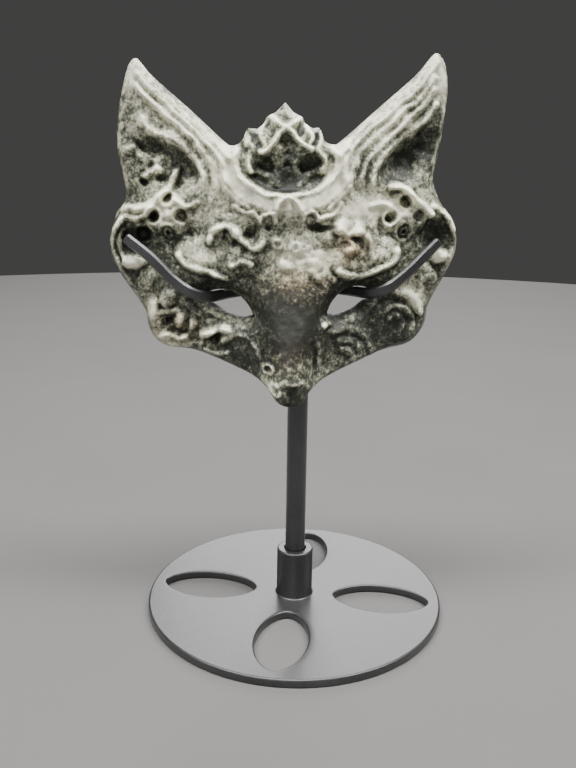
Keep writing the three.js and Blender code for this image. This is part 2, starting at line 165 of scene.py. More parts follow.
BAND_TRIM = [
    ([[-3.3, 7.8], [-2.5, 11.4], [0, 13.4], [2.5, 11.4], [3.3, 7.8]], 0.75, 0.9),
    ([[0, 12.8], [0, 8.4]], 0.8, 0.9),
    ([[-7.4, 7.2], [-6.6, 8.9], [-5.2, 9.5], [-3.9, 8.9], [-3.3, 7.4]], 0.7, 1.1),
    ([[3.3, 7.4], [3.9, 8.9], [5.2, 9.5], [6.6, 8.9], [7.4, 7.2]], 0.7, 1.1),
    ([[-14.2, 11.2], [-11.6, 9.2], [-9.2, 9.2], [-7.4, 7.6]], 0.8, 1.1),
    ([[7.4, 7.6], [9.2, 8.6], [11.4, 9], [13.6, 11.4]], 0.8, 1.1),
]
FLOWER_BANDS = [
    ([[27.6, 15.7], [30.4, 15.5], [32.6, 14], [34.4, 11.6], [37.2, 10.2], [39.2, 7.8]], 1.25, 1.9),
    ([[39.6, 9.8], [42, 9], [44.2, 6.8], [45.6, 3.6]], 1.2, 1.5),
    ([[-29.4, 20], [-30.8, 17.2], [-33, 14.8], [-35.4, 12.2], [-39, 11], [-44, 10.6]], 1.25, 1.9),
    ([[-36, 11.6], [-40, 8.8], [-44.2, 8.6], [-46.8, 5.4]], 1.2, 1.5),
    ([[-29.6, 12.6], [-27.6, 11.2], [-25.6, 11.6], [-24, 12.6]], 0.9, 1.2),
    ([[27.2, 10.6], [25, 11.3], [22.4, 10.8]], 0.9, 1.0),
]
BROW_RIDGES = [
    ([[-21.4, 2.4], [-20.4, 4.8], [-17.6, 5.8], [-14.4, 5.3], [-12.6, 3], [-10.8, 1.2], [-8.4, 0.8],
      [-6.6, 2.4]], 1.15, 1.6),
    ([[21.4, 0.2], [21.2, 2.6], [19, 4], [16, 3.6], [13.4, 4.6]], 1.2, 1.0),
    ([[-29.8, -1.6], [-28, -4.2], [-24.6, -5.2], [-20.6, -6.4], [-17.2, -7.8]], 1.15, 1.5),
    ([[13.4, -6.4], [15.4, -7.7], [18.6, -8], [22.4, -7], [26.2, -6], [29, -3.8], [29.6, -1.4]], 1.2, 1.5),
    ([[-15.6, -3.9], [-13.2, -3.5], [-10.6, -3.8]], 1.1, 1.3),
    ([[13.2, 1.2], [14.6, 2.4], [16.6, 1.8], [17, 0], [15.4, -1]], 1.0, 0.7),
    ([[5.6, -6.4], [8, -8.2], [9.4, -6.4], [11.6, -8.4]], 1.2, 0.6),
]
CHEEK_RIDGES = [
    ([[43.4, 8.4], [45.6, 4.2], [46.2, 0], [45.2, -4.6], [43, -8.4]], 1.3, 1.5),
    ([[-44.6, 8.6], [-47.2, 4.4], [-47.6, 0], [-46.2, -4.6], [-43.8, -9]], 1.0, 1.4),
    ([[-44.8, 5.6], [-45.6, 1.4], [-44.8, -2.6]], 0.8, 1.0),
    ([[29.4, -12.8], [32.6, -13.2], [35.2, -15.4], [36.6, -18.8]], 1.4, 1.9),
    ([[36.2, -8.6], [36.8, -11.6], [36, -14.4]], 0.9, 1.1),
    ([[26.6, -18], [29.8, -16.6], [33, -18], [34.4, -21.4], [33, -25]], 1.0, 1.0),
    ([[27.4, -20.6], [29.8, -19.4], [31.6, -21.2], [30.8, -24]], 0.8, 0.8),
    ([[-36.2, -20.6], [-35.2, -17.2], [-32.4, -16.2], [-30, -18.2], [-30.8, -21]], 0.9, 1.1),
    ([[-36.6, -24.4], [-33.6, -23], [-30.6, -24.2], [-28.2, -22.4], [-27.4, -19.6]], 0.9, 1.1),
    ([[-33.4, -26.2], [-29.6, -26.6], [-26, -25.4]], 0.9, 0.9),
    ([[-24.4, -25.4], [-24.2, -22.8], [-21.4, -22], [-18.6, -20.9], [-16.6, -21.4], [-16.6, -23.8],
      [-18.4, -24.8]], 1.3, 1.1),
    ([[-23.2, -27.2], [-20.6, -28.6], [-17.4, -28.2]], 0.8, 0.9),
    ([[-13.6, -22.8], [-10.6, -25.2], [-8.8, -28.6]], 0.8, 0.8),
    ([[9.2, -19.2], [13.4, -20.2], [19.6, -18.2], [25.8, -13.6]], 1.5, 1.2),
    ([[-9.2, -19.4], [-13.6, -20], [-19.4, -17.6], [-25.4, -14]], 1.5, 1.2),
]
SCROLL_CENTRE, SCROLL_RADII, SCROLL_SWEEP = [14.6, -30.2], [8.2, 5.2, 2.6], (-12.0, 112.0)
SCROLL_HEIGHT, SCROLL_HALF_WIDTH, SCROLL_FADE = 0.7, 1.3, 14.0
MUZZLE_RIDGES = [
    ([[-4.9, -35], [-2.8, -34], [0, -33.6], [2.8, -34.3], [4.2, -36]], 0.7, 0.7),
    ([[7.2, -25.4], [7.4, -28.6], [7, -32.4]], 0.8, 0.7),
]
GROOVES = [
    ([[5.6, -24.8], [6, -28.4], [5.8, -33.4]], 0.8, 0.9),
    ([[-8, -25.4], [-8.4, -28.4]], 0.7, 0.5),
    ([[-1, -36.4], [-1, -41]], 0.6, 0.5),
]

# Mounds and hollows by place: centre, radii, turn, height.
MOUNDS = [
    ([42, -3.4], [3.1, 2.4], 0, 2.3),
    ([38.8, -8.4], [3.6, 2.6], -50, 1.3),
    ([32.4, -24.4], [4.2, 2.6], 30, 0.9),
    ([-42, -3.2], [3.8, 2.4], 8, 2.3),
    ([-39.4, -8.6], [3.4, 2.6], 50, 1.2),
    ([-33.2, -13.2], [3, 2.3], 20, 2.0),
    ([-37.6, -16.8], [1.9, 4.2], -8, 1.6),
    ([-41.2, 25.8], [2.6, 1.1], 20, 1.0),
    ([-38.9, 24.6], [0.9, 1.6], 10, 0.8),
    ([-37.2, 19.8], [2, 1], 20, 1.0),
    ([-34.2, 20.6], [1.6, 1], -30, 1.0),
    ([31.8, 7.9], [6.6, 6], 0, 1.4),
    ([-32, 9.2], [6.6, 6.2], 0, 1.4),
    ([31.6, 7.9], [1.5, 1.5], 45, 0.8),
    ([-32, 9.2], [1.5, 1.5], 45, 0.8),
    ([9.1, -20.4], [0.9, 0.9], 0, 1.0),
    ([-30.6, -18.6], [2.2, 1.6], 30, 1.3),
    ([-34.2, -23.2], [2.4, 1.8], -20, 1.3),
    ([-29.2, -24.6], [2.2, 1.6], 10, 1.2),
    ([-26.6, -20.4], [2, 1.6], 40, 1.1),
    ([-22.4, -22.8], [2.2, 1.6], 20, 1.1),
    ([-17.6, -21.4], [1.8, 1.5], 0, 1.1),
    ([-14.6, 3.8], [2.2, 1.8], 20, 1.2),
    ([-18.8, 4.4], [2.2, 1.8], -20, 1.2),
    ([-10.6, -1.4], [2, 1.5], 0, 0.9),
    ([13.4, 5.6], [2.4, 2], 0, 1.1),
    ([18.6, 4.6], [2.2, 1.8], 0, 1.1),
    ([6, -4.4], [2.4, 1.8], 0, 0.8),
    ([-1.6, -4.6], [2.6, 1.8], 0, 0.7),
]
HOLLOWS = [
    ([39.6, 2.6], [4.6, 4.4], -25, 2.0),
    ([-40.8, 2.2], [4.4, 4.6], 20, 2.0),
    ([-9.4, 4.8], [2.5, 2.6], 0, 2.0),
    ([8, 5.2], [4, 1.6], 4, 1.7),
    ([-4.6, 5.8], [1.6, 1.4], 0, 0.9),
    ([-0.2, 33.2], [1.6, 1.2], 0, 0.9),
    ([-4.2, 30.2], [1.4, 2.6], 12, 1.5),
    ([3.7, 30.2], [1.4, 2.6], -12, 1.5),
    ([-8.7, 28.6], [1.3, 1.7], 10, 1.1),
    ([7.9, 28.4], [1.3, 1.7], -10, 1.1),
    ([0, 19.6], [10.6, 5.6], 0, 2.6),
    ([0, 26.8], [2.4, 3.2], 0, 1.5),
    ([-6, 21.9], [3.2, 2.8], 0, 1.2),
    ([5.6, 21.9], [3.2, 2.8], 0, 1.2),
    ([0, 19.8], [1.8, 2.2], 0, 0.7),
    ([-7.4, 17.4], [2.6, 1.3], -24, 0.9),
    ([7.2, 17.4], [2.6, 1.3], 24, 0.9),
    ([-33.7, 18.2], [1.4, 1.2], 0, 1.7),
    ([-38.2, 17.9], [1.9, 1.5], 0, 1.7),
    ([-36.2, 22.4], [1.3, 1], 0, 1.0),
    ([-20.4, -24.2], [2.4, 1.6], 20, 1.3),
    ([31, -15.4], [2.6, 1.3], -20, 1.0),
    ([-32.6, -18.6], [1.6, 1.5], 0, 1.2),
    ([-26.8, 5.6], [1.6, 4], 8, 0.9),
    ([24.6, 5.2], [1.4, 3.4], -8, 0.7),
]
FLOWER_CUPS = [
    ([31.6, 11.6], 1.9), ([27.6, 7.7], 1.9), ([35.3, 7.7], 2.0), ([31.6, 3.6], 2.1),
    ([-31.9, 13], 1.7), ([-35.9, 9], 1.9), ([-28.4, 8.9], 1.8), ([-32.4, 4.5], 2.1), ([-39, 4.4], 2.2),
]
CUP_DEPTH, CUP_POWER = 2.0, 0.7
CUP_LIP, LIP_RADIUS, LIP_WIDTH = 0.5, 1.1, 0.28
RINGS = [
    ([-2.8, 1.2], 1.1, 0.5, 0.35), ([1.6, 1], 1.1, 0.5, 0.35),
    ([-7, -31], 1.35, 0.55, 1.0), ([-5.2, -35.8], 1.3, 0.55, 0.9),
    ([-32.4, 4.5], 0.9, 0.5, 1.0), ([31.7, 3.5], 0.9, 0.5, 1.0),
]
EAR_HOLLOWS = [
    ([33.6, 23.6], [11.6, 7.2], 40, 3.6),
    ([-28.4, 20.6], [6.4, 8], -24, 3.2), ([-34.4, 26], [6.4, 3.6], -12, 1.8),
]
BROW_PLATES = [([20.6, -2.4], [10.6, 5.6], 6, 1.9), ([-20.4, -2.2], [11, 5.8], -14, 1.9)]

# Named patches of the stone's colour or roughness: centre, radii, turn, strength. Some pale patches are
# painted highlight on lit ledges, and some dark patches are painted shade in recesses.
PALE_AND_LIT_PATCHES = {
    "forehead_middle": ([1.6, -1.6], [5.8, 5.2], 0, 0.44),
    "forehead_right": ([9, -4], [5.4, 4.4], 0, 0.4),
    "brow_right": ([17, 8.6], [7.6, 5.6], 0, 0.55),
    "flower_right": ([24.8, 10.4], [4.4, 2.4], 0, 0.5),
    "ear_foot_right": ([13.2, 21.4], [3.4, 7.4], -12, 0.4),
    "ear_foot_left": ([-15, 20], [3.2, 9.4], 8, 0.4),
    "brow_left": ([-18.6, 11], [4.8, 11.6], 0, 0.22),
    "strands_right": ([28, 33.6], [18, 5.6], 40, 0.36),
    "strands_left": ([-28, 33], [17, 5.6], -42, 0.36),
    "ear_tip_right": ([40.4, 45], [3.4, 6.4], 0, 0.35),
    "ear_tip_left": ([-39.4, 45], [3.4, 5.4], 0, 0.35),
    "plate_left": ([-25.6, -1.8], [4.4, 4], 0, 0.34),
    "plate_right": ([25.6, -2], [4.4, 4.4], 0, 0.3),
    "muzzle_left": ([-3.6, -31.2], [3.6, 4.2], 0, 0.14),
    "muzzle_right": ([3, -31], [2.6, 4.2], 0, 0.08),
    "nose_side": ([-6, -36], [2.4, 2.8], 0, 0.4),
    "jaw_left": ([-34.6, -25], [5.6, 3.2], 0, 0.3),
    "curl_left": ([-20, -22.6], [5, 2.6], 20, 0.3),
    "cheek_left": ([-37.8, -16.6], [2.6, 5], -8, 0.4),
    "cheek_right": ([34.4, -14.8], [4.6, 3.2], -40, 0.6),
    "knob_right": ([42, -3.4], [3.4, 2.6], 0, 0.4),
    "knob_left": ([-42, -3.2], [4.2, 2.6], 0, 0.4),
    "flower_left": ([-36, 12.4], [9, 3], 24, 0.34),
    "band_right": ([35.6, 12], [8, 2.6], -36, 0.36),
    # The headband's patches are painted highlight on its lit top face.
    "lit_headband_left": ([-11, 14.6], [7, 3.4], -32, 0.45),
    "lit_headband_right": ([10.6, 14.6], [7, 3.4], 32, 0.45),
    "lit_headband_middle": ([0, 11], [7, 3], 0, 0.48),
    "crown": ([0, 31.4], [8, 4.6], 0, 0.34),
    "eye_speck": ([9.1, -20.4], [0.9, 0.9], 0, 0.7),
    "petals_right": ([31.8, 8.2], [6.4, 5.4], 0, 0.3),
    "petals_left": ([-32, 9.8], [6.4, 5.4], 0, 0.3),
}
DARK_AND_SHADED_PATCHES = {
    "nose_bridge": ([0, -20], [10, 9.4], 0, 0.5),
    "jaw_right": ([27, -23.4], [14, 8.6], 10, 0.24),
    "ear_right": ([33, 23], [10, 7], 38, 0.16),
    # Painted shade in the crown's bowl under the petals.
    "shaded_crown_bowl": ([0, 18.4], [10.4, 4.6], 0, 0.26),
    "flower_right": ([33, 3.4], [6, 3.6], 0, 0.2),
    # Painted shadow of the fork's tips and painted shade in the cheek dishes.
    "shaded_cheek_dish_left": ([-40.8, 1.4], [5, 5], 0, 0.25),
    "shaded_cheek_dish_right": ([40.6, 2], [5, 5], 0, 0.25),
    "flower_left": ([-33, 3.6], [8, 3.4], 0, 0.22),
    "jaw_left": ([-14.6, -28.6], [7, 3.8], -20, 0.22),
    "nose_pad": ([-0.4, -38], [4.6, 4], 0, 0.26),
    # Painted shade round the eye holes.
    "shaded_socket_left": ([-20, -13], [11, 4.6], -14, 0.24),
    "shaded_socket_right": ([20, -13], [11, 4.6], 14, 0.24),
}
ROUGH_PATCHES = {
    "jaw_left": ([-31, -20], [8, 7], 0, 0.55),
    "ear_left": ([-36, 20], [6, 7], 0, 0.45),
    "strands_left": ([-33, 33], [9, 7], -40, 0.2),
    "brow_left": ([-15, 3], [8, 6], 0, 0.4),
    "brow_right": ([14, 5], [9, 6], 0, 0.4),
    "forehead": ([2, -2], [7, 5], 0, 0.25),
}
BROWN_PATCHES = {
    "brow_right": ([16.6, -0.6], [4.8, 3.8], 0, 0.8),
    "bridge": ([2, -10.4], [9, 5], 0, 0.75),
    "muzzle": ([0.4, -26], [6, 5], 0, 0.6),
    "lid_right": ([12, -22.4], [3.4, 2], 0, 0.5),
    "jaw_left": ([-30.6, -21.6], [6, 4.4], 0, 0.45),
}

BASE_PALE, BACK_TONE = 0.5, (0.36, 0.0, 0.45)

# Stone: noises as scale per metre, detail, roughness and weight; stops of the colours; painted highlight on
# crests and painted shade in hollows, by the carving's height over its blurs.
STONE_NOISES = ((150, 4, 0.6, 0.6), (560, 5, 0.72, 1.35), (1300, 3, 0.65, 0.9))
STONE_STOPS = (0.18, 0.4, 0.56, 0.74, 0.95)
CREST_HIGHLIGHT_WEIGHT, RUST_WEIGHT, BLOTCH_RELIEF = 0.8, 1.3, 1.4
RELIEF_SHADE_AND_HIGHLIGHT = ((0.0, 0.3), (0.45, 0.95), (0.6, 1.0), (1.0, 1.3))

# Stand.
SLOT_COUNT, SLOT_TURN = 4, math.radians(-10.8)
SLOT_NEAR, SLOT_FAR, SLOT_HALF_WIDTH, SLOT_FULLNESS = 12.4, 41.2, 7.5, 1.2
FORK_Z, FORK_RISE = -12.6, 0.9
FORK_LEFT = [[-43.2, 9.4, 3.2], [-36.6, 10.8, -2.2], [-30.6, 12.6, -8.2], [-26.4, 13, -11.2]]
FORK_MIDDLE = [
    [-22, 11.2, 0], [-16, 5.5, 0.1], [-9, 3.2, 0.7], [0, 3, FORK_RISE], [3.7, 3, FORK_RISE],
    [7.4, 3, FORK_RISE], [10, 3.2, 0.7], [16, 5.5, 0.1], [22, 11.2, 0],
]
FORK_RIGHT = [[26.4, 13, -11.2], [30.8, 12.6, -8.1], [36, 10.8, -3.7], [40.8, 9.4, 0.5]]
END_ROUND, END_INSETS, END_DRAWS = 0.45, [1.0, 0.55, 0.3, 0.12, 0.0], [0.0, 0.0, 0.2, 0.32, 0.4, 0.45]
BORE_GAP, BORE_ROUND, TOP_ROUND, FOOT_FILLET, EDGE_ROW = 0.3, 0.25, 0.55, 0.5, 0.05
ROD_ROW, BEAD_SWELL, BEAD_START, BEAD_LENGTH = 40.0, 0.45, 2.2, 2.5
SLOT_STEPS, ROUND_STEPS, TOP_STEPS, TURNED_SIDES = (40, 24), 5, 9, 72
COAT_LIFT = 1.9

# Studio: where the lights stand and what they are turned to, in metres.
OVERHEAD = ((0.05, -0.2, 0.9), (0, 0, 0.06))
BEHIND = ((0.15, 1.15, 0.85), (0, 0, 0.03))
FRONT = ((-0.4, -0.9, 0.5), (0, 0, 0.09))
FLOOR_RINGS, FLOOR_SIDES, FLOOR_SHADE = 5, 96, 0.94

# Camera at the photograph's angle.
EYE_PLACE = (-14.388, -218.030, 127.848)
EYE_PITCH, EYE_YAW, EYE_ROLL = 0.26084, 0.05236, 0.015874
LENS, SENSOR = 36.375, 36.0


def smooth(start, end, value):
    """Eases from 0 at start to 1 at end: t squared times (3 - 2t), with t held between 0 and 1."""
    t = np.clip((value - start) / (end - start), 0, 1)
    return t * t * (3 - 2 * t)


def cubic_spans(a, b, slope_a, slope_b, steps):
    """Points of cubics from a to b with given slopes at both ends, each without its last point."""
    a, b, slope_a, slope_b = (q[:, None] for q in (a, b, slope_a, slope_b))
    t = np.linspace(0, 1, steps, endpoint=False)[None, :, None]
    span = (2 * a - 2 * b + slope_a + slope_b) * t**3 + (3 * b - 3 * a - 2 * slope_a - slope_b) * t**2
    return (span + slope_a * t + a).reshape(-1, a.shape[-1])


def spline(points, steps=10):
    """A curve through all points: cubics whose end slopes are half the chord over both neighbours."""
    p = np.asarray(points, float)
    before, after = np.vstack([p[:1], p[:-2]]), np.vstack([p[2:], p[-1:]])
    a, b = p[:-1], p[1:]
    return np.vstack([cubic_spans(a, b, (b - before) / 2, (after - a) / 2, steps), p[-1:]])


def line_distance(line, x, z, reach=None):
    """Least distance from points to the spans of a line; points beyond reach of its box get reach."""
    a, step = line[:-1], np.diff(line, axis=0)
    far = np.full(x.shape, np.inf if reach is None else reach)
    if reach is None:
        near = np.arange(x.size)
    else:
        low, high = line.min(axis=0) - reach, line.max(axis=0) + reach
        near = np.flatnonzero((x > low[0]) & (x < high[0]) & (z > low[1]) & (z < high[1]))
    length = np.maximum((step**2).sum(axis=1), 1e-12)
    for part in np.array_split(near, max(1, near.size * len(a) // 3_000_000 + 1)):
        dx, dz = x[part, None] - a[:, 0], z[part, None] - a[:, 1]
        t = np.clip((dx * step[:, 0] + dz * step[:, 1]) / length, 0, 1)
        far[part] = np.sqrt(((dx - t * step[:, 0]) ** 2 + (dz - t * step[:, 1]) ** 2).min(axis=1))
    return far


def inside_distance(line, x, z):
    """Distance to a closed line, positive inside, where a ray rightwards meets it an odd number of times."""
    a, b = line, np.roll(line, -1, axis=0)
    inside = np.zeros(x.shape, bool)
    for (ax, az), (bx, bz) in zip(a, b):
        if az != bz:
            inside ^= ((az > z) != (bz > z)) & (x < ax + (bx - ax) * (z - az) / (bz - az))
    return np.where(inside, 1, -1) * line_distance(np.vstack([line, line[:1]]), x, z)


def mask_outline():
    """Closed outline: straight steps along the crown, splines along ears, cheeks and nose."""
    right = spline([RIGHT_CROWN[-1]] + RIGHT_EAR + RIGHT_CHEEK)
    nose = spline([RIGHT_CHEEK[-1], [3.2, -41], NOSE_BOTTOM, [-5.2, -41], LEFT_CHEEK[-1]])
    left = spline(LEFT_CHEEK[::-1] + LEFT_EAR[::-1] + [LEFT_CROWN[-1]])
    crown = np.array(LEFT_CROWN[::-1] + [CROWN_TIP] + RIGHT_CROWN, float)
    return np.vstack([crown[:-1], right[:-1], nose[:-1], left[:-1]])


def eye_line(side):
    """Closed border of one eye hole: a curve over it and one under it, mirrored for the left eye."""
    return np.vstack([spline(EYE_TOP)[:-1], spline(EYE_LOW)[:-1]]) * [side, 1]


def oval(place, x, z):
    """Square of the distance from an oval's middle, 1 on its border."""
    (cx, cz), (rx, rz), turn, _ = place
    c, s = math.cos(math.radians(turn)), math.sin(math.radians(turn))
    return (((x - cx) * c + (z - cz) * s) / rx) ** 2 + (((z - cz) * c - (x - cx) * s) / rz) ** 2


def bumps(places, x, z, power=0.8):
    """Sum of oval mounds, each its height times (1 - t squared) to a power, with t the oval's radius."""
    total = np.zeros(x.shape)
    for place in places:
        total += place[3] * np.clip(1 - oval(place, x, z), 0, 1) ** power
    return total


def patches(places, x, z):
    """Sum of soft patches: strength times e to the power of minus the oval's squared radius."""
    total = np.zeros(x.shape)
    for place in places.values():
        total += place[3] * np.exp(-oval(place, x, z))
    return total


def ridges(places, x, z, crest=2.0):
    """Highest of ridges along curves: height times (1 - t to the power crest), t distance over half width."""
    highest = np.zeros(x.shape)
    for points, half_width, height in places:
        t = line_distance(spline(points, 6), x, z, half_width) / half_width
        highest = np.maximum(highest, height * (1 - t**crest))
    return highest


def dome(x, z):
    """Smooth face: a rim depth plus a bell across x that fades out up the forehead."""
    fade = np.clip(1 - (np.maximum(0, z) / DOME_FADE) ** 2, 0, 1)
    return RIM_DEPTH + DOME_DEPTH * np.exp(-((x / DOME_WIDTH) ** 2)) * fade


def snout(x, z):
    """Snout: a flat-topped bell across x that narrows and comes forward down to the nose."""
    down = smooth(*SNOUT_SPAN, z)
    width = SNOUT_WIDTHS[0] + (SNOUT_WIDTHS[1] - SNOUT_WIDTHS[0]) * down
    return SNOUT_DEPTH * down * np.exp(-(np.abs((x - NOSE_X * down) / width) ** SNOUT_FLATNESS))


def carving(x, z):
    """Depth of the carving over the smooth face: fields, then ridges, mounds, cups and rings on them.

    The headband falls off in steps, because its distance is taken in whole millimetres.
    """
    depth = bumps(BROW_PLATES, x, z) - bumps(EAR_HOLLOWS, x, z, EAR_POWER)
    depth += smooth(*STRAND_START, z) * ridges(STRANDS, x, z, STRAND_CREST)
    depth += CROWN_GAIN * ridges(CROWN_RIDGES, x, z) + ridges(BAND_EDGES, x, z)
    depth += FLOWER_GAIN * (ridges(FLOWER_BANDS, x, z) + ridges(BROW_RIDGES, x, z))
    depth += ridges(CHEEK_RIDGES, x, z) + ridges(MUZZLE_RIDGES, x, z) - ridges(GROOVES, x, z)
    band = np.floor(line_distance(spline(HEADBAND), x, z, BAND_REACH))
    depth += BAND_HEIGHT * smooth(*BAND_EDGE, band)
    depth += TRIM_GAIN * ridges(BAND_TRIM, x, z)
    depth += MOUND_GAIN * bumps(MOUNDS, x, z) - bumps(HOLLOWS, x, z)
    for (cx, cz), radius in FLOWER_CUPS:
        away = np.hypot(x - cx, z - cz) / radius
        depth += CUP_LIP * np.exp(-(((away - LIP_RADIUS) / LIP_WIDTH) ** 2))
        depth -= CUP_DEPTH * np.clip(1 - away**2, 0, 1) ** CUP_POWER
    for (cx, cz), radius, half_width, height in RINGS:
        away = np.abs(np.hypot(x - cx, z - cz) - radius) / half_width
        depth += RING_GAIN * height * np.clip(1 - away**2, 0, 1)
    across, up = x - SCROLL_CENTRE[0], z - SCROLL_CENTRE[1]
    turn, away = np.degrees(np.arctan2(up, across)), np.hypot(across, up)
    first, last = SCROLL_SWEEP
    swept = smooth(first - SCROLL_FADE, first, turn) * smooth(last + SCROLL_FADE, last, turn)
    for radius in SCROLL_RADII:
        depth += SCROLL_HEIGHT * swept * np.clip(1 - ((away - radius) / SCROLL_HALF_WIDTH) ** 2, 0, 1)
    return depth


def lattice_noise(x, z, strength, cell, seed):
    """Smooth random field of a strength: seeded values on a square lattice, eased between its corners."""
    table = np.random.default_rng(seed).uniform(-1, 1, (128, 128))
    u, v = x / cell + 64, z / cell + 64
    i, j = np.floor(u).astype(int) % 127, np.floor(v).astype(int) % 127
    s, t = smooth(0, 1, u - np.floor(u)), smooth(0, 1, v - np.floor(v))
    low = table[i, j] * (1 - s) + table[i + 1, j] * s
    high = table[i, j + 1] * (1 - s) + table[i + 1, j + 1] * s
    return strength * (low * (1 - t) + high * t)


class CarvedGrid:
    """The carving on a grid over a box, softened a little, with its height over broader blurs of itself.

    The place of each grid point is shaken by two noises before the carving is worked out, so lines run
    unevenly as from a hand tool. A blur damps each wave by e to the power of minus its squared frequency.
    """

    def __init__(self, low, high, pitch):
        self.low, self.pitch = low, pitch
        gx, gz = (np.arange(a, b, pitch) for a, b in zip(low, high))
        x, z = (q.ravel() for q in np.meshgrid(gx, gz, indexing="ij"))
        rough = LEAST_ROUGH + patches(ROUGH_PATCHES, x, z)
        shake = SHAKE * (LEAST_SHAKE + rough)
        shaken_x, shaken_z = (
            q + lattice_noise(x, z, shake, SHAKE_CELL, seed) for q, seed in zip((x, z), SHAKE_SEEDS)
        )
        raw = carving(shaken_x, shaken_z) * (1 + lattice_noise(x, z, *SWELL))
        raw += rough * sum(lattice_noise(x, z, *knobs) for knobs in KNOBS)
        raw = raw.reshape(len(gx), len(gz))
        waves = np.fft.fftfreq(len(gx), pitch)[:, None] ** 2 + np.fft.rfftfreq(len(gz), pitch) ** 2
        spectrum = np.fft.rfft2(raw)
        soft, near, far = (
            np.fft.irfft2(spectrum * np.exp(-2 * (math.pi * reach) ** 2 * waves), raw.shape)
            for reach in (CARVE_SOFT, CREST_NEAR, CREST_FAR)
        )
        self.depth = soft
        # Height over the broader blurs, for the stone's painted highlight on crests and painted shade in
        # hollows.
        self.crest = CREST_GAINS[0] * (soft - near) + CREST_GAINS[1] * (soft - far)

    def read(self, field, x, z):
        """Value of a field at points, straight between the four grid points round each."""
        i, j = (x - self.low[0]) / self.pitch, (z - self.low[1]) / self.pitch
        a, b = np.floor(i).astype(int), np.floor(j).astype(int)
        s, t = i - a, j - b
        here = field[a, b] * (1 - s) + field[a + 1, b] * s
        over = field[a, b + 1] * (1 - s) + field[a + 1, b + 1] * s
        return here * (1 - t) + over * t


def quarter_round(inward, radius):
    """Profile of a rounded edge: 0 on the edge, up to 1 at one radius in along a quarter of a sine."""
    return np.sin(np.clip(inward / radius, 0, 1) * math.pi / 2)


def hollow_depth(x, z, from_edge):
    """Depth of the hollow at the back: the dome less the wall, inside a rim and open under the nose."""
    chin = smooth(*CHIN_SIDES, np.abs(x - CHIN_X)) * smooth(*CHIN_TOP, z)
    rim = smooth(*HOLLOW_RIM, from_edge) * smooth(*HOLLOW_TOP, z)
    return np.maximum(0, dome(x, z) - WALL) * np.maximum(rim, CHIN_SHARE * chin)


def cut_grid(low, high, pitch, distance):
    """A grid of triangles over a box of the plane, cut along the line where distance is 0.

    Points within a third of the pitch of the line move onto it along the slope of the distance. A triangle
    that still crosses the line loses its outer corner or corners, where distance changes sign on a side.
    """
    nx, nz = (int(round((h - l) / pitch)) for l, h in zip(low, high))
    lines = (np.linspace(l, h, n + 1) for l, h, n in zip(low, high, (nx, nz)))
    x, z = (q.ravel() for q in np.meshgrid(*lines, indexing="ij"))
    d = distance(x, z)
    close = np.flatnonzero(np.abs(d) < SNAP_REACH * pitch)
    e = SLOPE_STEP * pitch
    slope_x = (distance(x[close] + e, z[close]) - distance(x[close] - e, z[close])) / (2 * e)
    slope_z = (distance(x[close], z[close] + e) - distance(x[close], z[close] - e)) / (2 * e)
    steep = np.maximum(slope_x**2 + slope_z**2, LEAST_SLOPE)
    x[close] -= d[close] * slope_x / steep
    z[close] -= d[close] * slope_z / steep
    d[close] = 0

    i, j = (q.ravel() for q in np.meshgrid(np.arange(nx), np.arange(nz), indexing="ij"))
    a = i * (nz + 1) + j
    b, c, f = a + nz + 1, a + nz + 2, a + 1
    even = ((i + j) % 2 == 0)[:, None]
    first = np.where(even, np.column_stack([a, b, c]), np.column_stack([a, b, f]))
    second = np.where(even, np.column_stack([a, c, f]), np.column_stack([b, c, f]))
    triangles = np.vstack([first, second])
    kept = d[triangles] >= 0
    count = kept.sum(axis=1)
    flat = (d[triangles] == 0).all(axis=1)
    middle_x, middle_z = x[triangles[flat]].mean(axis=1), z[triangles[flat]].mean(axis=1)
    count[np.flatnonzero(flat)[distance(middle_x, middle_z) <= 0]] = 0

    def turned(number, wanted):
        """Triangles with that number of kept corners, turned so that the odd corner out comes first."""
        rows = np.flatnonzero(count == number)
        odd = np.argmax(kept[rows] == wanted, axis=1)
        return np.take_along_axis(triangles[rows], (odd[:, None] + np.arange(3)) % 3, axis=1)

    lone, pair = turned(1, True), turned(2, False)
    sides = np.vstack([lone[:, [0, 1]], lone[:, [0, 2]], pair[:, [1, 0]], pair[:, [2, 0]]])
    names, which = np.unique(np.sort(sides, axis=1), axis=0, return_inverse=True)
    p, q = names.T
    share = d[p] / np.where(d[p] == d[q], 1, d[p] - d[q])
    new = np.where(d[p] == 0, p, np.where(d[q] == 0, q, x.size + np.arange(len(names))))
    x = np.concatenate([x, x[p] + share * (x[q] - x[p])])
    z = np.concatenate([z, z[p] + share * (z[q] - z[p])])
    cut = new[which.ravel()]
    s1, s2, s3, s4 = np.split(cut, np.cumsum([len(lone), len(lone), len(pair)]))
    faces = np.vstack([
        triangles[count == 3], np.column_stack([lone[:, 0], s1, s2]),
        np.column_stack([pair[:, 1], pair[:, 2], s4]), np.column_stack([pair[:, 1], s4, s3]),
    ])
    whole = (faces[:, 0] != faces[:, 1]) & (faces[:, 1] != faces[:, 2]) & (faces[:, 2] != faces[:, 0])
    used, faces = np.unique(faces[whole], return_inverse=True)
    return x[used], z[used], faces.reshape(-1, 3)


def open_edges(faces, count):
    """Directed sides of the faces that no other face runs back along."""
    sides = np.vstack([faces[:, [0, 1]], faces[:, [1, 2]], faces[:, [2, 0]]])
    there, back = sides[:, 0] * count + sides[:, 1], sides[:, 1] * count + sides[:, 0]
    return sides[~np.isin(there, back)]


def in_part(x, p, z):
    """Mask plane to part frame in metres: turned by the lean about the depth and moved into place."""
    c, s = math.cos(MASK_LEAN), math.sin(MASK_LEAN)
    return MM * np.column_stack([MASK_X + x * c - z * s, MASK_BACK - p, MASK_Z + x * s + z * c])


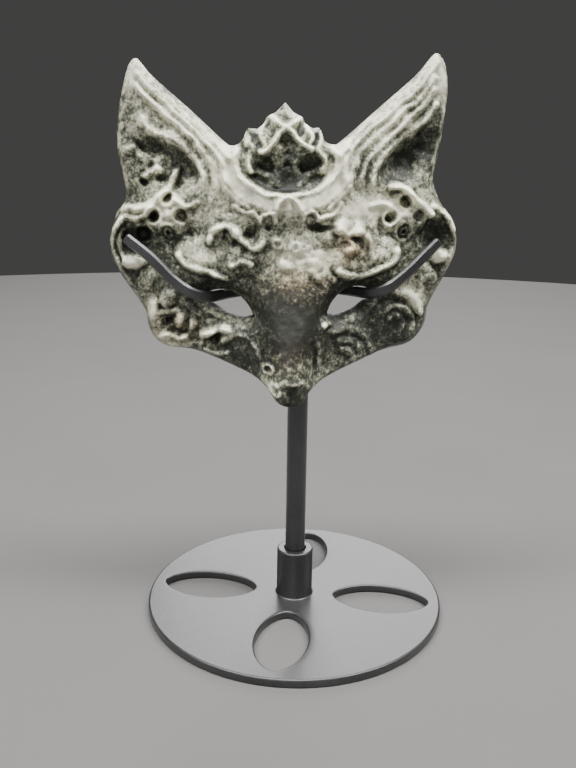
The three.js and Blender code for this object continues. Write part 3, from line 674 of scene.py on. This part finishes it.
def add_piece(name, verts, faces, material, node, sharp=40.0):
    """Puts vertices and faces of like corner counts into a mesh that stands for a node of the part."""
    mesh = bpy.data.meshes.new(name)
    mesh.vertices.add(len(verts))
    mesh.vertices.foreach_set("co", np.ascontiguousarray(verts, np.float32).ravel())
    corners = np.concatenate([f.ravel() for f in faces]).astype(np.int32)
    sizes = np.concatenate([np.full(len(f), f.shape[1]) for f in faces])
    mesh.loops.add(len(corners))
    mesh.loops.foreach_set("vertex_index", corners)
    mesh.polygons.add(len(sizes))
    mesh.polygons.foreach_set("loop_start", (np.cumsum(sizes) - sizes).astype(np.int32))
    mesh.update(calc_edges=True)
    if mesh.validate():
        raise RuntimeError(name + ": the mesh had bad faces")
    mesh.polygons.foreach_set("use_smooth", np.ones(len(sizes), bool))
    mesh.set_sharp_from_angle(angle=math.radians(sharp))
    mesh.materials.append(material)
    piece = bpy.data.objects.new(name, mesh)
    bpy.context.scene.collection.objects.link(piece)
    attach(piece, BODY)
    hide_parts(node)
    return piece


def grid_faces(rows, columns):
    """Four-cornered faces between neighbouring rows of a grid, with each row closed to a ring."""
    i, j = (q.ravel() for q in np.meshgrid(np.arange(rows - 1), np.arange(columns), indexing="ij"))
    k = (j + 1) % columns
    return np.column_stack([i * columns + j, i * columns + k, (i + 1) * columns + k, (i + 1) * columns + j])


class NodeSheet:
    """A material's node tree with short ways to add and join nodes."""

    def __init__(self, name):
        self.material = bpy.data.materials.new(name)
        self.material.use_nodes = True
        self.nodes = self.material.node_tree.nodes
        self.links = self.material.node_tree.links
        self.shader = self.nodes["Principled BSDF"]

    def add(self, kind, inputs=(), **settings):
        """Adds a node, sets its settings, and sets or joins its inputs by name or number."""
        node = self.nodes.new(kind)
        for key, value in settings.items():
            setattr(node, key, value)
        for key, value in dict(inputs).items():
            self.feed(node.inputs[key], value)
        return node

    def feed(self, socket, value):
        """Joins a socket to another node's output, or sets its value."""
        if isinstance(value, bpy.types.NodeSocket):
            self.links.new(value, socket)
        else:
            socket.default_value = value

    def sum(self, a, b, operation="ADD", clamp=False):
        """One step of arithmetic on two values or outputs."""
        return self.add("ShaderNodeMath", {0: a, 1: b}, operation=operation, use_clamp=clamp).outputs[0]

    def noise(self, scale, detail=3.0, roughness=0.55):
        """Noise on Object coordinates, about one patch per scale of a metre."""
        where = self.add("ShaderNodeTexCoord").outputs["Object"]
        inputs = {"Vector": where, "Scale": scale, "Detail": detail, "Roughness": roughness}
        return self.add("ShaderNodeTexNoise", inputs).outputs["Fac"]

    def ramp(self, value, stops):
        """Colours between stops of a value."""
        node = self.add("ShaderNodeValToRGB", {"Fac": value})
        elements = node.color_ramp.elements
        while len(elements) < len(stops):
            elements.new(0.5)
        for element, (place, colour) in zip(elements, stops):
            element.position = place
            element.color = (*colour, 1.0)
        return node.outputs["Color"]

    def mix(self, kind, fac, a, b):
        """Two colours mixed by a factor."""
        node = self.add("ShaderNodeMix", data_type="RGBA", blend_type=kind)
        self.feed(node.inputs["Factor"], fac)
        self.feed(node.inputs["A"], a)
        self.feed(node.inputs["B"], b)
        return node.outputs["Result"]

    def bump(self, height, strength, depth):
        """Fine relief on the shader's normal."""
        inputs = {"Height": height, "Strength": strength, "Distance": depth}
        self.links.new(self.add("ShaderNodeBump", inputs).outputs["Normal"], self.shader.inputs["Normal"])


def mottled_stone(settings):
    """Mottled stone: pale and dark by patches and three noises, painted shade in the carving's hollows and
    painted highlight on its crests, a satin polish.
    """
    sheet = NodeSheet("mottled_stone")
    tone = sheet.add("ShaderNodeAttribute", attribute_name="tone").outputs["Color"]
    parts = sheet.add("ShaderNodeSeparateColor", {"Color": tone}).outputs
    noises = [sheet.noise(*noise) for *noise, _ in STONE_NOISES]
    _, blotch, grain = noises
    weights = [weight for *_, weight in STONE_NOISES]
    value = parts["Red"]
    # The relief channel lightens the crests and darkens the hollows in the colour: painted highlight and
    # painted shade.
    for noise, weight in zip(noises + [parts["Blue"]], weights + [CREST_HIGHLIGHT_WEIGHT]):
        centred = sheet.sum(noise, 0.5, "SUBTRACT")
        value = sheet.sum(value, sheet.sum(centred, weight, "MULTIPLY"))
    colours = (
        settings.dark_stone, settings.deep_stone, settings.grey_stone,
        settings.pale_stone, settings.cream_stone,
    )
    colour = sheet.ramp(value, list(zip(STONE_STOPS, colours)))
    rust = sheet.sum(parts["Green"], sheet.sum(blotch, RUST_WEIGHT, "MULTIPLY"), "MULTIPLY", True)
    colour = sheet.mix("MULTIPLY", rust, colour, (*settings.rust_tint, 1.0))
    # Painted shade in the carving's hollows and painted highlight on its crests, multiplied in by the relief
    # channel.
    relief_shade_and_highlight = sheet.ramp(parts["Blue"], [(place, (light,) * 3) for place, light in RELIEF_SHADE_AND_HIGHLIGHT])
    colour = sheet.mix("MULTIPLY", 1.0, colour, relief_shade_and_highlight)
    sheet.feed(sheet.shader.inputs["Base Color"], colour)
    polish = sheet.sum(sheet.sum(blotch, 0.5, "MULTIPLY"), 0.22)
    sheet.feed(sheet.shader.inputs["Roughness"], polish)
    sheet.shader.inputs["Specular IOR Level"].default_value = 0.22
    sheet.bump(sheet.sum(grain, sheet.sum(blotch, BLOTCH_RELIEF, "MULTIPLY")), 0.5, 0.00016)
    return sheet.material


def black_coat(settings):
    """Black coated metal: fine grain in colour, gloss and relief, with softly worn larger patches."""
    sheet = NodeSheet("black_coat")
    grain, cloud = sheet.noise(1500, 4, 0.75), sheet.noise(45, 4, 0.6)
    dark, light = settings.coat, tuple(COAT_LIFT * c for c in settings.coat)
    shade = sheet.sum(sheet.sum(grain, 0.5, "MULTIPLY"), sheet.sum(cloud, 0.5, "MULTIPLY"))
    sheet.feed(sheet.shader.inputs["Base Color"], sheet.ramp(shade, [(0.38, dark), (0.62, light)]))
    gloss = sheet.sum(sheet.sum(cloud, 0.3, "MULTIPLY"), sheet.sum(grain, 0.3, "MULTIPLY"))
    sheet.feed(sheet.shader.inputs["Roughness"], sheet.sum(gloss, 0.12))
    sheet.shader.inputs["Metallic"].default_value = 0.6
    sheet.shader.inputs["Specular IOR Level"].default_value = 0.9
    sheet.shader.inputs["Coat Weight"].default_value = 0.6
    sheet.shader.inputs["Coat Roughness"].default_value = 0.24
    sheet.bump(grain, 0.9, 0.00012)
    return sheet.material


def shared_material(name, make, settings):
    """The material of that name, made once."""
    return bpy.data.materials.get(name) or make(settings)


def mask_piece(settings):
    """The mask: a front sheet at the carved height and a back sheet at the hollow's depth on one grid."""
    outline, eyes = mask_outline(), [eye_line(-1), eye_line(1)]

    def distance(x, z):
        """Positive inside the outline and outside both eye holes."""
        least = inside_distance(outline, x, z)
        for eye in eyes:
            beside = np.abs(np.abs(x) - EYE_MIDDLE[0]) < EYE_REACH[0]
            near = np.flatnonzero(beside & (np.abs(z - EYE_MIDDLE[1]) < EYE_REACH[1]))
            least[near] = np.minimum(least[near], -inside_distance(eye, x[near], z[near]))
        return least

    x, z, front = cut_grid(MASK_LOW, MASK_HIGH, settings.pitch / MM, distance)
    from_edge = np.maximum(inside_distance(outline, x, z), 0)
    from_eye = np.min([np.maximum(-inside_distance(eye, x, z), 0) for eye in eyes], axis=0)
    wide_low, wide_high = np.array(MASK_LOW) - CARVE_MARGIN, np.array(MASK_HIGH) + CARVE_MARGIN
    grid = CarvedGrid(wide_low, wide_high, CARVE_PITCH)
    carved = grid.read(grid.depth, x, z) - SOCKET_DEPTH * smooth(*SOCKET_REACH, from_eye)
    carved += lattice_noise(x, z, *GRAIN)
    height = np.maximum(LEAST_HEIGHT, dome(x, z) + snout(x, z) + carved)
    height *= RIM_SHARE + (1 - RIM_SHARE) * quarter_round(from_edge, RIM_ROUND)
    height -= EYE_ROUND * (1 - quarter_round(from_eye, EYE_ROUND))
    back = hollow_depth(x, z, from_edge)

    count = len(x)
    rim = open_edges(front, count)
    wall = np.column_stack([rim[:, 1], rim[:, 0], rim[:, 0] + count, rim[:, 1] + count])
    verts = np.vstack([in_part(x, height, z), in_part(x, back, z)])
    faces = [front, front[:, ::-1] + count, np.vstack([wall[:, [0, 1, 2]], wall[:, [0, 2, 3]]])]
    material = shared_material("mottled_stone", mottled_stone, settings)
    piece = add_piece("stone_mask", verts, faces, material, "mask", 50)

    # Pale channel: stone patches, with painted highlight on lit ledges and painted shade in recesses among
    # them.
    pale = BASE_PALE + patches(PALE_AND_LIT_PATCHES, x, z) - patches(DARK_AND_SHADED_PATCHES, x, z)
    brown = patches(BROWN_PATCHES, x, z)
    # Relief channel: height over the blurred carving, for the painted highlight on crests and painted shade
    # in hollows.
    relief = np.clip(0.5 + grid.read(grid.crest, x, z), 0, 1)
    tone = np.ones((2 * count, 4), np.float32)
    tone[:count, :3] = np.column_stack([pale, brown, relief])
    tone[count:, :3] = BACK_TONE
    piece.data.attributes.new("tone", "FLOAT_COLOR", "POINT").data.foreach_set("color", tone.ravel())


def slot_border(angle):
    """Border of one slot on +X: its place along goes by the cosine, its width by the sine to a power."""
    along = SLOT_NEAR + (SLOT_FAR - SLOT_NEAR) * (1 - np.cos(angle)) / 2
    across = SLOT_HALF_WIDTH * np.sign(np.sin(angle)) * np.abs(np.sin(angle)) ** SLOT_FULLNESS
    return np.column_stack([along, across])


def quarter_border(angle, radius):
    """Border of a quarter of a disc about +X, met by a ray from the slot's middle at each angle.

    The ray starts at the middle and stops at the first of the two straight sides at 45 degrees and the arc.
    """
    start = (SLOT_NEAR + SLOT_FAR) / 2
    dx, dy = -np.cos(angle), np.sin(angle)
    arc = -start * dx + np.sqrt(np.maximum((start * dx) ** 2 + radius**2 - start**2, 0))
    side = np.abs(dy) - dx
    straight = np.where(side > 1e-9, start / np.maximum(side, 1e-9), np.inf)
    reach = np.minimum(arc, straight)
    return np.column_stack([start + reach * dx, reach * dy])


def base_piece(settings):
    """The foot plate: each quarter of its top is drawn from the slot's border to the quarter's border.

    Rows of each quarter run from the underside up the slot's wall, round its edge and out over the top.
    """
    radius, thick, edge = settings.plate_radius / MM, settings.plate_thickness / MM, settings.edge_round / MM
    start = (SLOT_NEAR + SLOT_FAR) / 2
    reach = (radius - edge) * math.sqrt(0.5)
    corner = math.atan2(reach, start - reach)
    near, far = SLOT_STEPS
    spans = [np.linspace(0, corner, near, endpoint=False), np.linspace(corner, math.pi, far, endpoint=False)]
    half = np.concatenate(spans)
    angle = np.concatenate([half, 2 * math.pi - np.append(half, math.pi)[:0:-1]])
    slot, border = slot_border(angle), quarter_border(angle, radius - edge)
    outward = border - slot
    outward /= np.linalg.norm(outward, axis=1)[:, None]
    bend = np.linspace(0, math.pi / 2, ROUND_STEPS)
    turn = bend[:, None, None]
    lip = slot[None] + edge * (1 - np.cos(turn)) * outward[None]
    lip_z = thick - edge + edge * np.sin(turn)[:, :, 0] * np.ones(len(angle))
    t = np.linspace(0, 1, TOP_STEPS)[1:, None, None]
    top = lip[-1][None] * (1 - t) + border[None] * t
    plane = np.concatenate([lip, top])
    level = np.concatenate([lip_z, np.full((TOP_STEPS - 1, len(angle)), thick)])
    plane = np.concatenate([plane[::-1], plane])
    level = np.concatenate([thick - level[::-1], level])
    rows, columns = level.shape
    quarter = np.column_stack([plane.reshape(-1, 2), level.ravel()])
    turns = SLOT_TURN + 2 * math.pi * np.arange(SLOT_COUNT) / SLOT_COUNT
    verts, faces = [], []
    for k, (c, s) in enumerate(zip(np.cos(turns), np.sin(turns))):
        verts.append(quarter @ np.array([[c, s, 0], [-s, c, 0], [0, 0, 1]]))
        faces.append(grid_faces(rows, columns)[:, ::-1] + len(quarter) * k)
    arc = np.flatnonzero(np.abs(np.hypot(*border.T) - radius + edge) < 1e-6)
    arc_turn = np.sort(np.arctan2(border[arc, 1], border[arc, 0]))[:-1]
    around = (turns[:, None] + arc_turn).ravel()
    rim_r = radius - edge + edge * np.sin(bend)
    rim_z = edge - edge * np.cos(bend)
    rim_r, rim_z = np.append(rim_r, rim_r[::-1]), np.append(rim_z, thick - rim_z[::-1])
    faces.append(grid_faces(len(rim_r), len(around)) + SLOT_COUNT * len(quarter))
    verts, faces = welded(np.vstack(verts + [rings(rim_r, rim_z, around)]), faces)
    add_metal("foot_plate", MM * verts, faces, "stand_base", settings)


def welded(verts, faces, step=1e-4):
    """Joins points that fall into the same small cell, and drops faces that lose their area by it."""
    cells = np.round(verts / step).astype(np.int64)
    _, first, which = np.unique(cells, axis=0, return_index=True, return_inverse=True)
    which = which.ravel()
    whole = []
    for group in faces:
        group = which[group]
        same = group == np.roll(group, 1, axis=1)
        doubled = same.sum(axis=1)
        whole.append(group[doubled == 0])
        whole.append(group[doubled == 1][~same[doubled == 1]].reshape(-1, group.shape[1] - 1))
    return verts[first], whole


def rings(radius, level, angle):
    """Points of rings about the vertical axis, one to each radius and height, at the given angles."""
    x, y = np.outer(radius, np.cos(angle)), np.outer(radius, np.sin(angle))
    return np.stack([x, y, np.outer(level, np.ones(len(angle)))], axis=2).reshape(-1, 3)


def add_metal(name, verts, faces, node, settings, sharp=35):
    """Adds a piece of the stand in its black coat."""
    material = shared_material("black_coat", black_coat, settings)
    add_piece(name, verts, faces, material, node, sharp)


def turned_piece(name, profile, settings, node):
    """A turned piece: a closed profile of radius and height carried round the vertical axis."""
    radius, level = np.transpose(profile)
    angle = np.linspace(0, 2 * math.pi, TURNED_SIDES, endpoint=False)
    verts, faces = welded(rings(radius, level, angle), [grid_faces(len(profile), TURNED_SIDES)])
    add_metal(name, MM * verts, faces, node, settings)


def rounded_corner(r, z, radius, start, end, steps=5):
    """Points of an arc about a middle, from one angle to another in degrees."""
    angle = np.radians(np.linspace(start, end, steps))
    return np.column_stack([r + radius * np.cos(angle), z + radius * np.sin(angle)]).tolist()


def collar_piece(settings):
    """The collar: a tube with a rounded top edge inside and out and a small foot fillet on the plate."""
    foot, top = (corner[2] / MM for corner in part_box("stand_collar"))
    radius, bore = settings.collar_radius / MM, settings.rod_radius / MM + BORE_GAP
    profile = [[bore, foot], [radius + FOOT_FILLET, foot]]
    profile += rounded_corner(radius + FOOT_FILLET, foot + FOOT_FILLET, FOOT_FILLET, -90, -180)
    profile += [[radius, top - TOP_ROUND - EDGE_ROW]]
    profile += rounded_corner(radius - TOP_ROUND, top - TOP_ROUND, TOP_ROUND, 0, 90)
    profile += rounded_corner(bore + BORE_ROUND, top - BORE_ROUND, BORE_ROUND, 90, 180) + [[bore, foot]]
    turned_piece("collar", profile, settings, "stand_collar")


def rod_piece(settings):
    """The rod: a round bar with a weld bead that swells at its top, under the fork."""
    foot, top = (corner[2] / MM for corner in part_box("stand_rod"))
    radius = settings.rod_radius / MM
    start = top - BEAD_START
    profile = [[0, foot], [radius, foot], [radius, foot + ROD_ROW], [radius, start]]
    swell = np.linspace(0, math.pi, 9)[1:]
    bead = np.column_stack([radius + BEAD_SWELL * np.sin(swell), start + BEAD_LENGTH * swell / math.pi])
    profile += bead.tolist() + [[0, start + BEAD_LENGTH]]
    turned_piece("rod", profile, settings, "stand_rod")


def fork_path(steps=14):
    """The fork's middle line, a curve through its points with knots spaced by the root of their distance."""
    middle = [[x, p, FORK_Z + rise] for x, p, rise in FORK_MIDDLE]
    points = np.array(FORK_LEFT + middle + FORK_RIGHT)
    points = np.vstack([2 * points[0] - points[1], points, 2 * points[-1] - points[-2]])
    chord = np.diff(points, axis=0)
    gap = np.sqrt(np.linalg.norm(chord, axis=1))[:, None]
    slope = chord[:-1] / gap[:-1] - (chord[:-1] + chord[1:]) / (gap[:-1] + gap[1:]) + chord[1:] / gap[1:]
    inner = gap[1:-1]
    spans = cubic_spans(points[1:-2], points[2:-1], slope[:-1] * inner, slope[1:] * inner, steps)
    return np.vstack([spans, points[-2:-1]])


def fork_piece(settings):
    """The fork: a flat bar's chamfered section carried along its line, drawn in and closed at both ends."""
    path = fork_path()
    along = np.gradient(path, axis=0)
    along /= np.linalg.norm(along, axis=1)[:, None]
    up = np.array([0, 0, 1.0]) - along * along[:, 2:]
    up /= np.linalg.norm(up, axis=1)[:, None]
    out = np.cross(along, up)
    tall, thick = settings.bar_height / MM / 2, settings.bar_thickness / MM / 2
    edge = settings.bar_chamfer / MM
    section = []
    for k, (sx, sz) in enumerate([(1, -1), (1, 1), (-1, 1), (-1, -1)]):
        section += rounded_corner(sx * (thick - edge), sz * (tall - edge), edge, 90 * k - 90, 90 * k, 2)
    section = np.array(section)
    shrink = np.vstack([[0, 0], 1 - np.outer(END_INSETS, END_ROUND / np.array([thick, tall]))])
    draw = np.array(END_DRAWS) - END_ROUND
    inner = len(path) - 2
    rows = np.concatenate([np.zeros(len(shrink), int), 1 + np.arange(inner), np.full(len(shrink), inner + 1)])
    size = np.vstack([shrink, np.ones((inner, 2)), shrink[::-1]])[:, None]
    shift = np.concatenate([draw, np.zeros(inner), -draw[::-1]])[:, None, None]
    path, along, up, out = (q[rows][:, None] for q in (path, along, up, out))
    scaled = section[None] * size
    ring = path + shift * along + scaled[..., :1] * out + scaled[..., 1:] * up
    verts, faces = welded(ring.reshape(-1, 3), [grid_faces(len(rows), len(section))])
    add_metal("fork", in_part(*verts.T), faces, "stand_fork", settings, 25)


def floor_piece(settings):
    """The floor: a flat disc of rings, pale and matt."""
    radius = np.linspace(0, settings.floor_radius, FLOOR_RINGS)
    angle = np.linspace(0, 2 * math.pi, FLOOR_SIDES, endpoint=False)
    flat = rings(radius, np.zeros(FLOOR_RINGS), angle)
    verts, faces = welded(flat, [grid_faces(FLOOR_RINGS, FLOOR_SIDES)], 1e-7)
    mesh = bpy.data.meshes.new("floor")
    mesh.from_pydata(verts.tolist(), [], [face for group in faces for face in group.tolist()])
    sheet = NodeSheet("floor")
    tint = settings.floor_colour
    stops = [(0.3, tuple(FLOOR_SHADE * c for c in tint)), (0.7, tuple(tint))]
    sheet.feed(sheet.shader.inputs["Base Color"], sheet.ramp(sheet.noise(14, 4), stops))
    sheet.shader.inputs["Roughness"].default_value = 0.85
    mesh.materials.append(sheet.material)
    floor = bpy.data.objects.new("floor", mesh)
    bpy.context.scene.collection.objects.link(floor)


def set_up(holder, side, up, back, place):
    """Puts an object into the scene at a place, with its own axes along side, up and back."""
    holder.matrix_world = Matrix([[side[i], up[i], back[i], place[i]] for i in range(3)] + [[0, 0, 0, 1]])
    bpy.context.scene.collection.objects.link(holder)


def area_light(name, place, target, size, power):
    """A wide soft light at a place, turned to a target; its size is across and along."""
    light = bpy.data.lights.new(name, "AREA")
    light.shape, light.energy = "RECTANGLE", power
    light.size, light.size_y = size
    lamp = bpy.data.objects.new(name, light)
    back = np.subtract(place, target)
    back /= np.linalg.norm(back)
    side = np.cross([0, 1, 0] if abs(back[2]) > 0.9 else [0, 0, 1], back)
    side = side / np.linalg.norm(side)
    set_up(lamp, side, np.cross(back, side), back, place)


def photo_camera():
    """The camera at the photograph's place, turned by its yaw, pitch and roll."""
    pitch, yaw, roll = EYE_PITCH, EYE_YAW, EYE_ROLL
    ahead = np.array([math.sin(yaw) * math.cos(pitch), math.cos(yaw) * math.cos(pitch), -math.sin(pitch)])
    right = np.array([math.cos(yaw), -math.sin(yaw), 0.0])
    up = np.cross(right, ahead)
    side = math.cos(roll) * right + math.sin(roll) * up
    top = math.cos(roll) * up - math.sin(roll) * right
    camera = bpy.data.cameras.new("camera")
    camera.lens, camera.sensor_width, camera.sensor_fit = LENS, SENSOR, "AUTO"
    camera.clip_start, camera.clip_end = 0.01, 20.0
    holder = bpy.data.objects.new("camera", camera)
    set_up(holder, side, top, -ahead, MM * np.array(EYE_PLACE))
    bpy.context.scene.camera = holder


def studio(settings):
    """Plain soft light: a wide panel overhead, one high behind, a weak one in front, and a dim surround."""
    overhead = settings.overhead_width, settings.overhead_depth
    area_light("overhead", *OVERHEAD, overhead, settings.overhead_power)
    area_light("behind", *BEHIND, (settings.panel_size,) * 2, settings.behind_power)
    area_light("front", *FRONT, (settings.panel_size,) * 2, settings.front_power)
    world = bpy.context.scene.world or bpy.data.worlds.new("surround")
    bpy.context.scene.world = world
    world.use_nodes = True
    background = world.node_tree.nodes["Background"]
    background.inputs["Color"].default_value = (*settings.surround, 1.0)
    background.inputs["Strength"].default_value = 1.0


def node_span(node, axis):
    """Size of a node of the part along an axis, in metres."""
    low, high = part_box(node)
    return high[axis] - low[axis]


def length(name, description, default):
    """A length property in metres."""
    words = {"name": name, "description": description}
    return bpy.props.FloatProperty(**words, default=default, min=0.0, unit="LENGTH", precision=5)


def power(name, description, default):
    """A power property in watts."""
    words = {"name": name, "description": description}
    return bpy.props.FloatProperty(**words, default=default, min=0.0, unit="POWER")


def colour(name, description, default):
    """A colour property."""
    words = {"name": name, "description": description}
    return bpy.props.FloatVectorProperty(**words, default=default, subtype="COLOR", min=0.0, max=1.0)


class FoxMaskSettings(bpy.types.PropertyGroup):
    """Sizes and colours of the mask."""

    pitch: length("Carving pitch", "Distance between neighbouring points of the carved sheet", 0.00037)
    dark_stone: colour("Dark stone", "Darkest part of the stone", (0.026, 0.028, 0.022))
    deep_stone: colour("Deep stone", "Green-grey ground of the stone", (0.075, 0.08, 0.062))
    grey_stone: colour("Grey stone", "Grey veins of the stone", (0.23, 0.235, 0.17))
    pale_stone: colour("Pale stone", "Pale clouds of the stone", (0.52, 0.515, 0.385))
    cream_stone: colour("Cream stone", "Lightest part of the stone", (0.92, 0.9, 0.7))
    rust_tint: colour("Rust tint", "Brown tint where iron has stained the stone", (0.85, 0.5, 0.32))


class StandSettings(bpy.types.PropertyGroup):
    """Sizes and colours of the stand."""

    plate_radius: length("Plate radius", "Radius of the foot plate", node_span("stand_base", 0) / 2)
    plate_thickness: length("Plate thickness", "Thickness of the foot plate", node_span("stand_base", 2))
    edge_round: length("Edge rounding", "Radius on the plate's edges", 0.0006)
    collar_radius: length("Collar radius", "Outer radius of the collar", node_span("stand_collar", 0) / 2)
    rod_radius: length("Rod radius", "Radius of the rod", node_span("stand_rod", 0) / 2)
    bar_height: length("Bar height", "Height of the fork's flat bar", 0.0029)
    bar_thickness: length("Bar thickness", "Thickness of the fork's flat bar", 0.0016)
    bar_chamfer: length("Bar chamfer", "Width of the chamfers on the bar's edges", 0.00052)
    coat: colour("Coat", "Black coat of the metal", (0.034, 0.034, 0.035))


class StudioSettings(bpy.types.PropertyGroup):
    """Floor, light and surround."""

    floor_radius: length("Floor radius", "Radius of the round floor", 0.86)
    floor_colour: colour("Floor", "Pale floor", (0.15, 0.146, 0.14))
    surround: colour("Surround", "Dim light from all round", (0.06, 0.059, 0.058))
    overhead_width: length("Overhead width", "Width of the overhead light", 1.9)
    overhead_depth: length("Overhead depth", "Depth of the overhead light", 0.24)
    overhead_power: power("Overhead power", "Power of the overhead light", 33.0)
    panel_size: length("Panel size", "Side of the lights behind and in front", 0.8)
    behind_power: power("Behind power", "Power of the high light behind", 14.0)
    front_power: power("Front power", "Power of the front light", 3.0)


class FOXMASK_OT_mask(bpy.types.Operator):
    """Build the carved stone mask"""

    bl_idname = "foxmask.mask"
    bl_label = "Carved mask"

    def execute(self, context):
        mask_piece(context.scene.fox_mask)
        return {"FINISHED"}


class FOXMASK_OT_stand_base(bpy.types.Operator):
    """Build the slotted foot plate"""

    bl_idname = "foxmask.stand_base"
    bl_label = "Foot plate"

    def execute(self, context):
        base_piece(context.scene.fox_mask_stand)
        return {"FINISHED"}


class FOXMASK_OT_stand_post(bpy.types.Operator):
    """Build the collar and the rod"""

    bl_idname = "foxmask.stand_post"
    bl_label = "Collar and rod"

    def execute(self, context):
        collar_piece(context.scene.fox_mask_stand)
        rod_piece(context.scene.fox_mask_stand)
        return {"FINISHED"}


class FOXMASK_OT_stand_fork(bpy.types.Operator):
    """Build the bent fork that carries the mask"""

    bl_idname = "foxmask.stand_fork"
    bl_label = "Fork"

    def execute(self, context):
        fork_piece(context.scene.fox_mask_stand)
        return {"FINISHED"}


class FOXMASK_OT_stage(bpy.types.Operator):
    """Set up the floor, the lights and the camera"""

    bl_idname = "foxmask.stage"
    bl_label = "Studio"

    def execute(self, context):
        settings = context.scene.fox_mask_studio
        floor_piece(settings)
        studio(settings)
        photo_camera()
        return {"FINISHED"}


OPERATORS = (
    FOXMASK_OT_mask, FOXMASK_OT_stand_base, FOXMASK_OT_stand_post, FOXMASK_OT_stand_fork, FOXMASK_OT_stage,
)


class FOXMASK_PT_sidebar(bpy.types.Panel):
    """Lists the builders of the fox mask"""

    bl_idname = "FOXMASK_PT_sidebar"
    bl_label = "Fox mask"
    bl_space_type = "VIEW_3D"
    bl_region_type = "UI"
    bl_category = "Fox mask"

    def draw(self, context):
        for operator in OPERATORS:
            self.layout.operator(operator.bl_idname)


SETTINGS = {
    "fox_mask": FoxMaskSettings,
    "fox_mask_stand": StandSettings,
    "fox_mask_studio": StudioSettings,
}
CLASSES = (*SETTINGS.values(), *OPERATORS, FOXMASK_PT_sidebar)


def register():
    """Registers the classes and hangs the settings on the scene."""
    for entry in CLASSES:
        bpy.utils.register_class(entry)
    for name, group in SETTINGS.items():
        setattr(bpy.types.Scene, name, bpy.props.PointerProperty(type=group))


def unregister():
    """Takes the settings and classes away again."""
    for name in SETTINGS:
        delattr(bpy.types.Scene, name)
    for entry in reversed(CLASSES):
        bpy.utils.unregister_class(entry)


def main():
    """Builds every piece and the studio."""
    register()
    bpy.ops.foxmask.mask()
    bpy.ops.foxmask.stand_base()
    bpy.ops.foxmask.stand_post()
    bpy.ops.foxmask.stand_fork()
    bpy.ops.foxmask.stage()


if __name__ == "__main__":
    main()
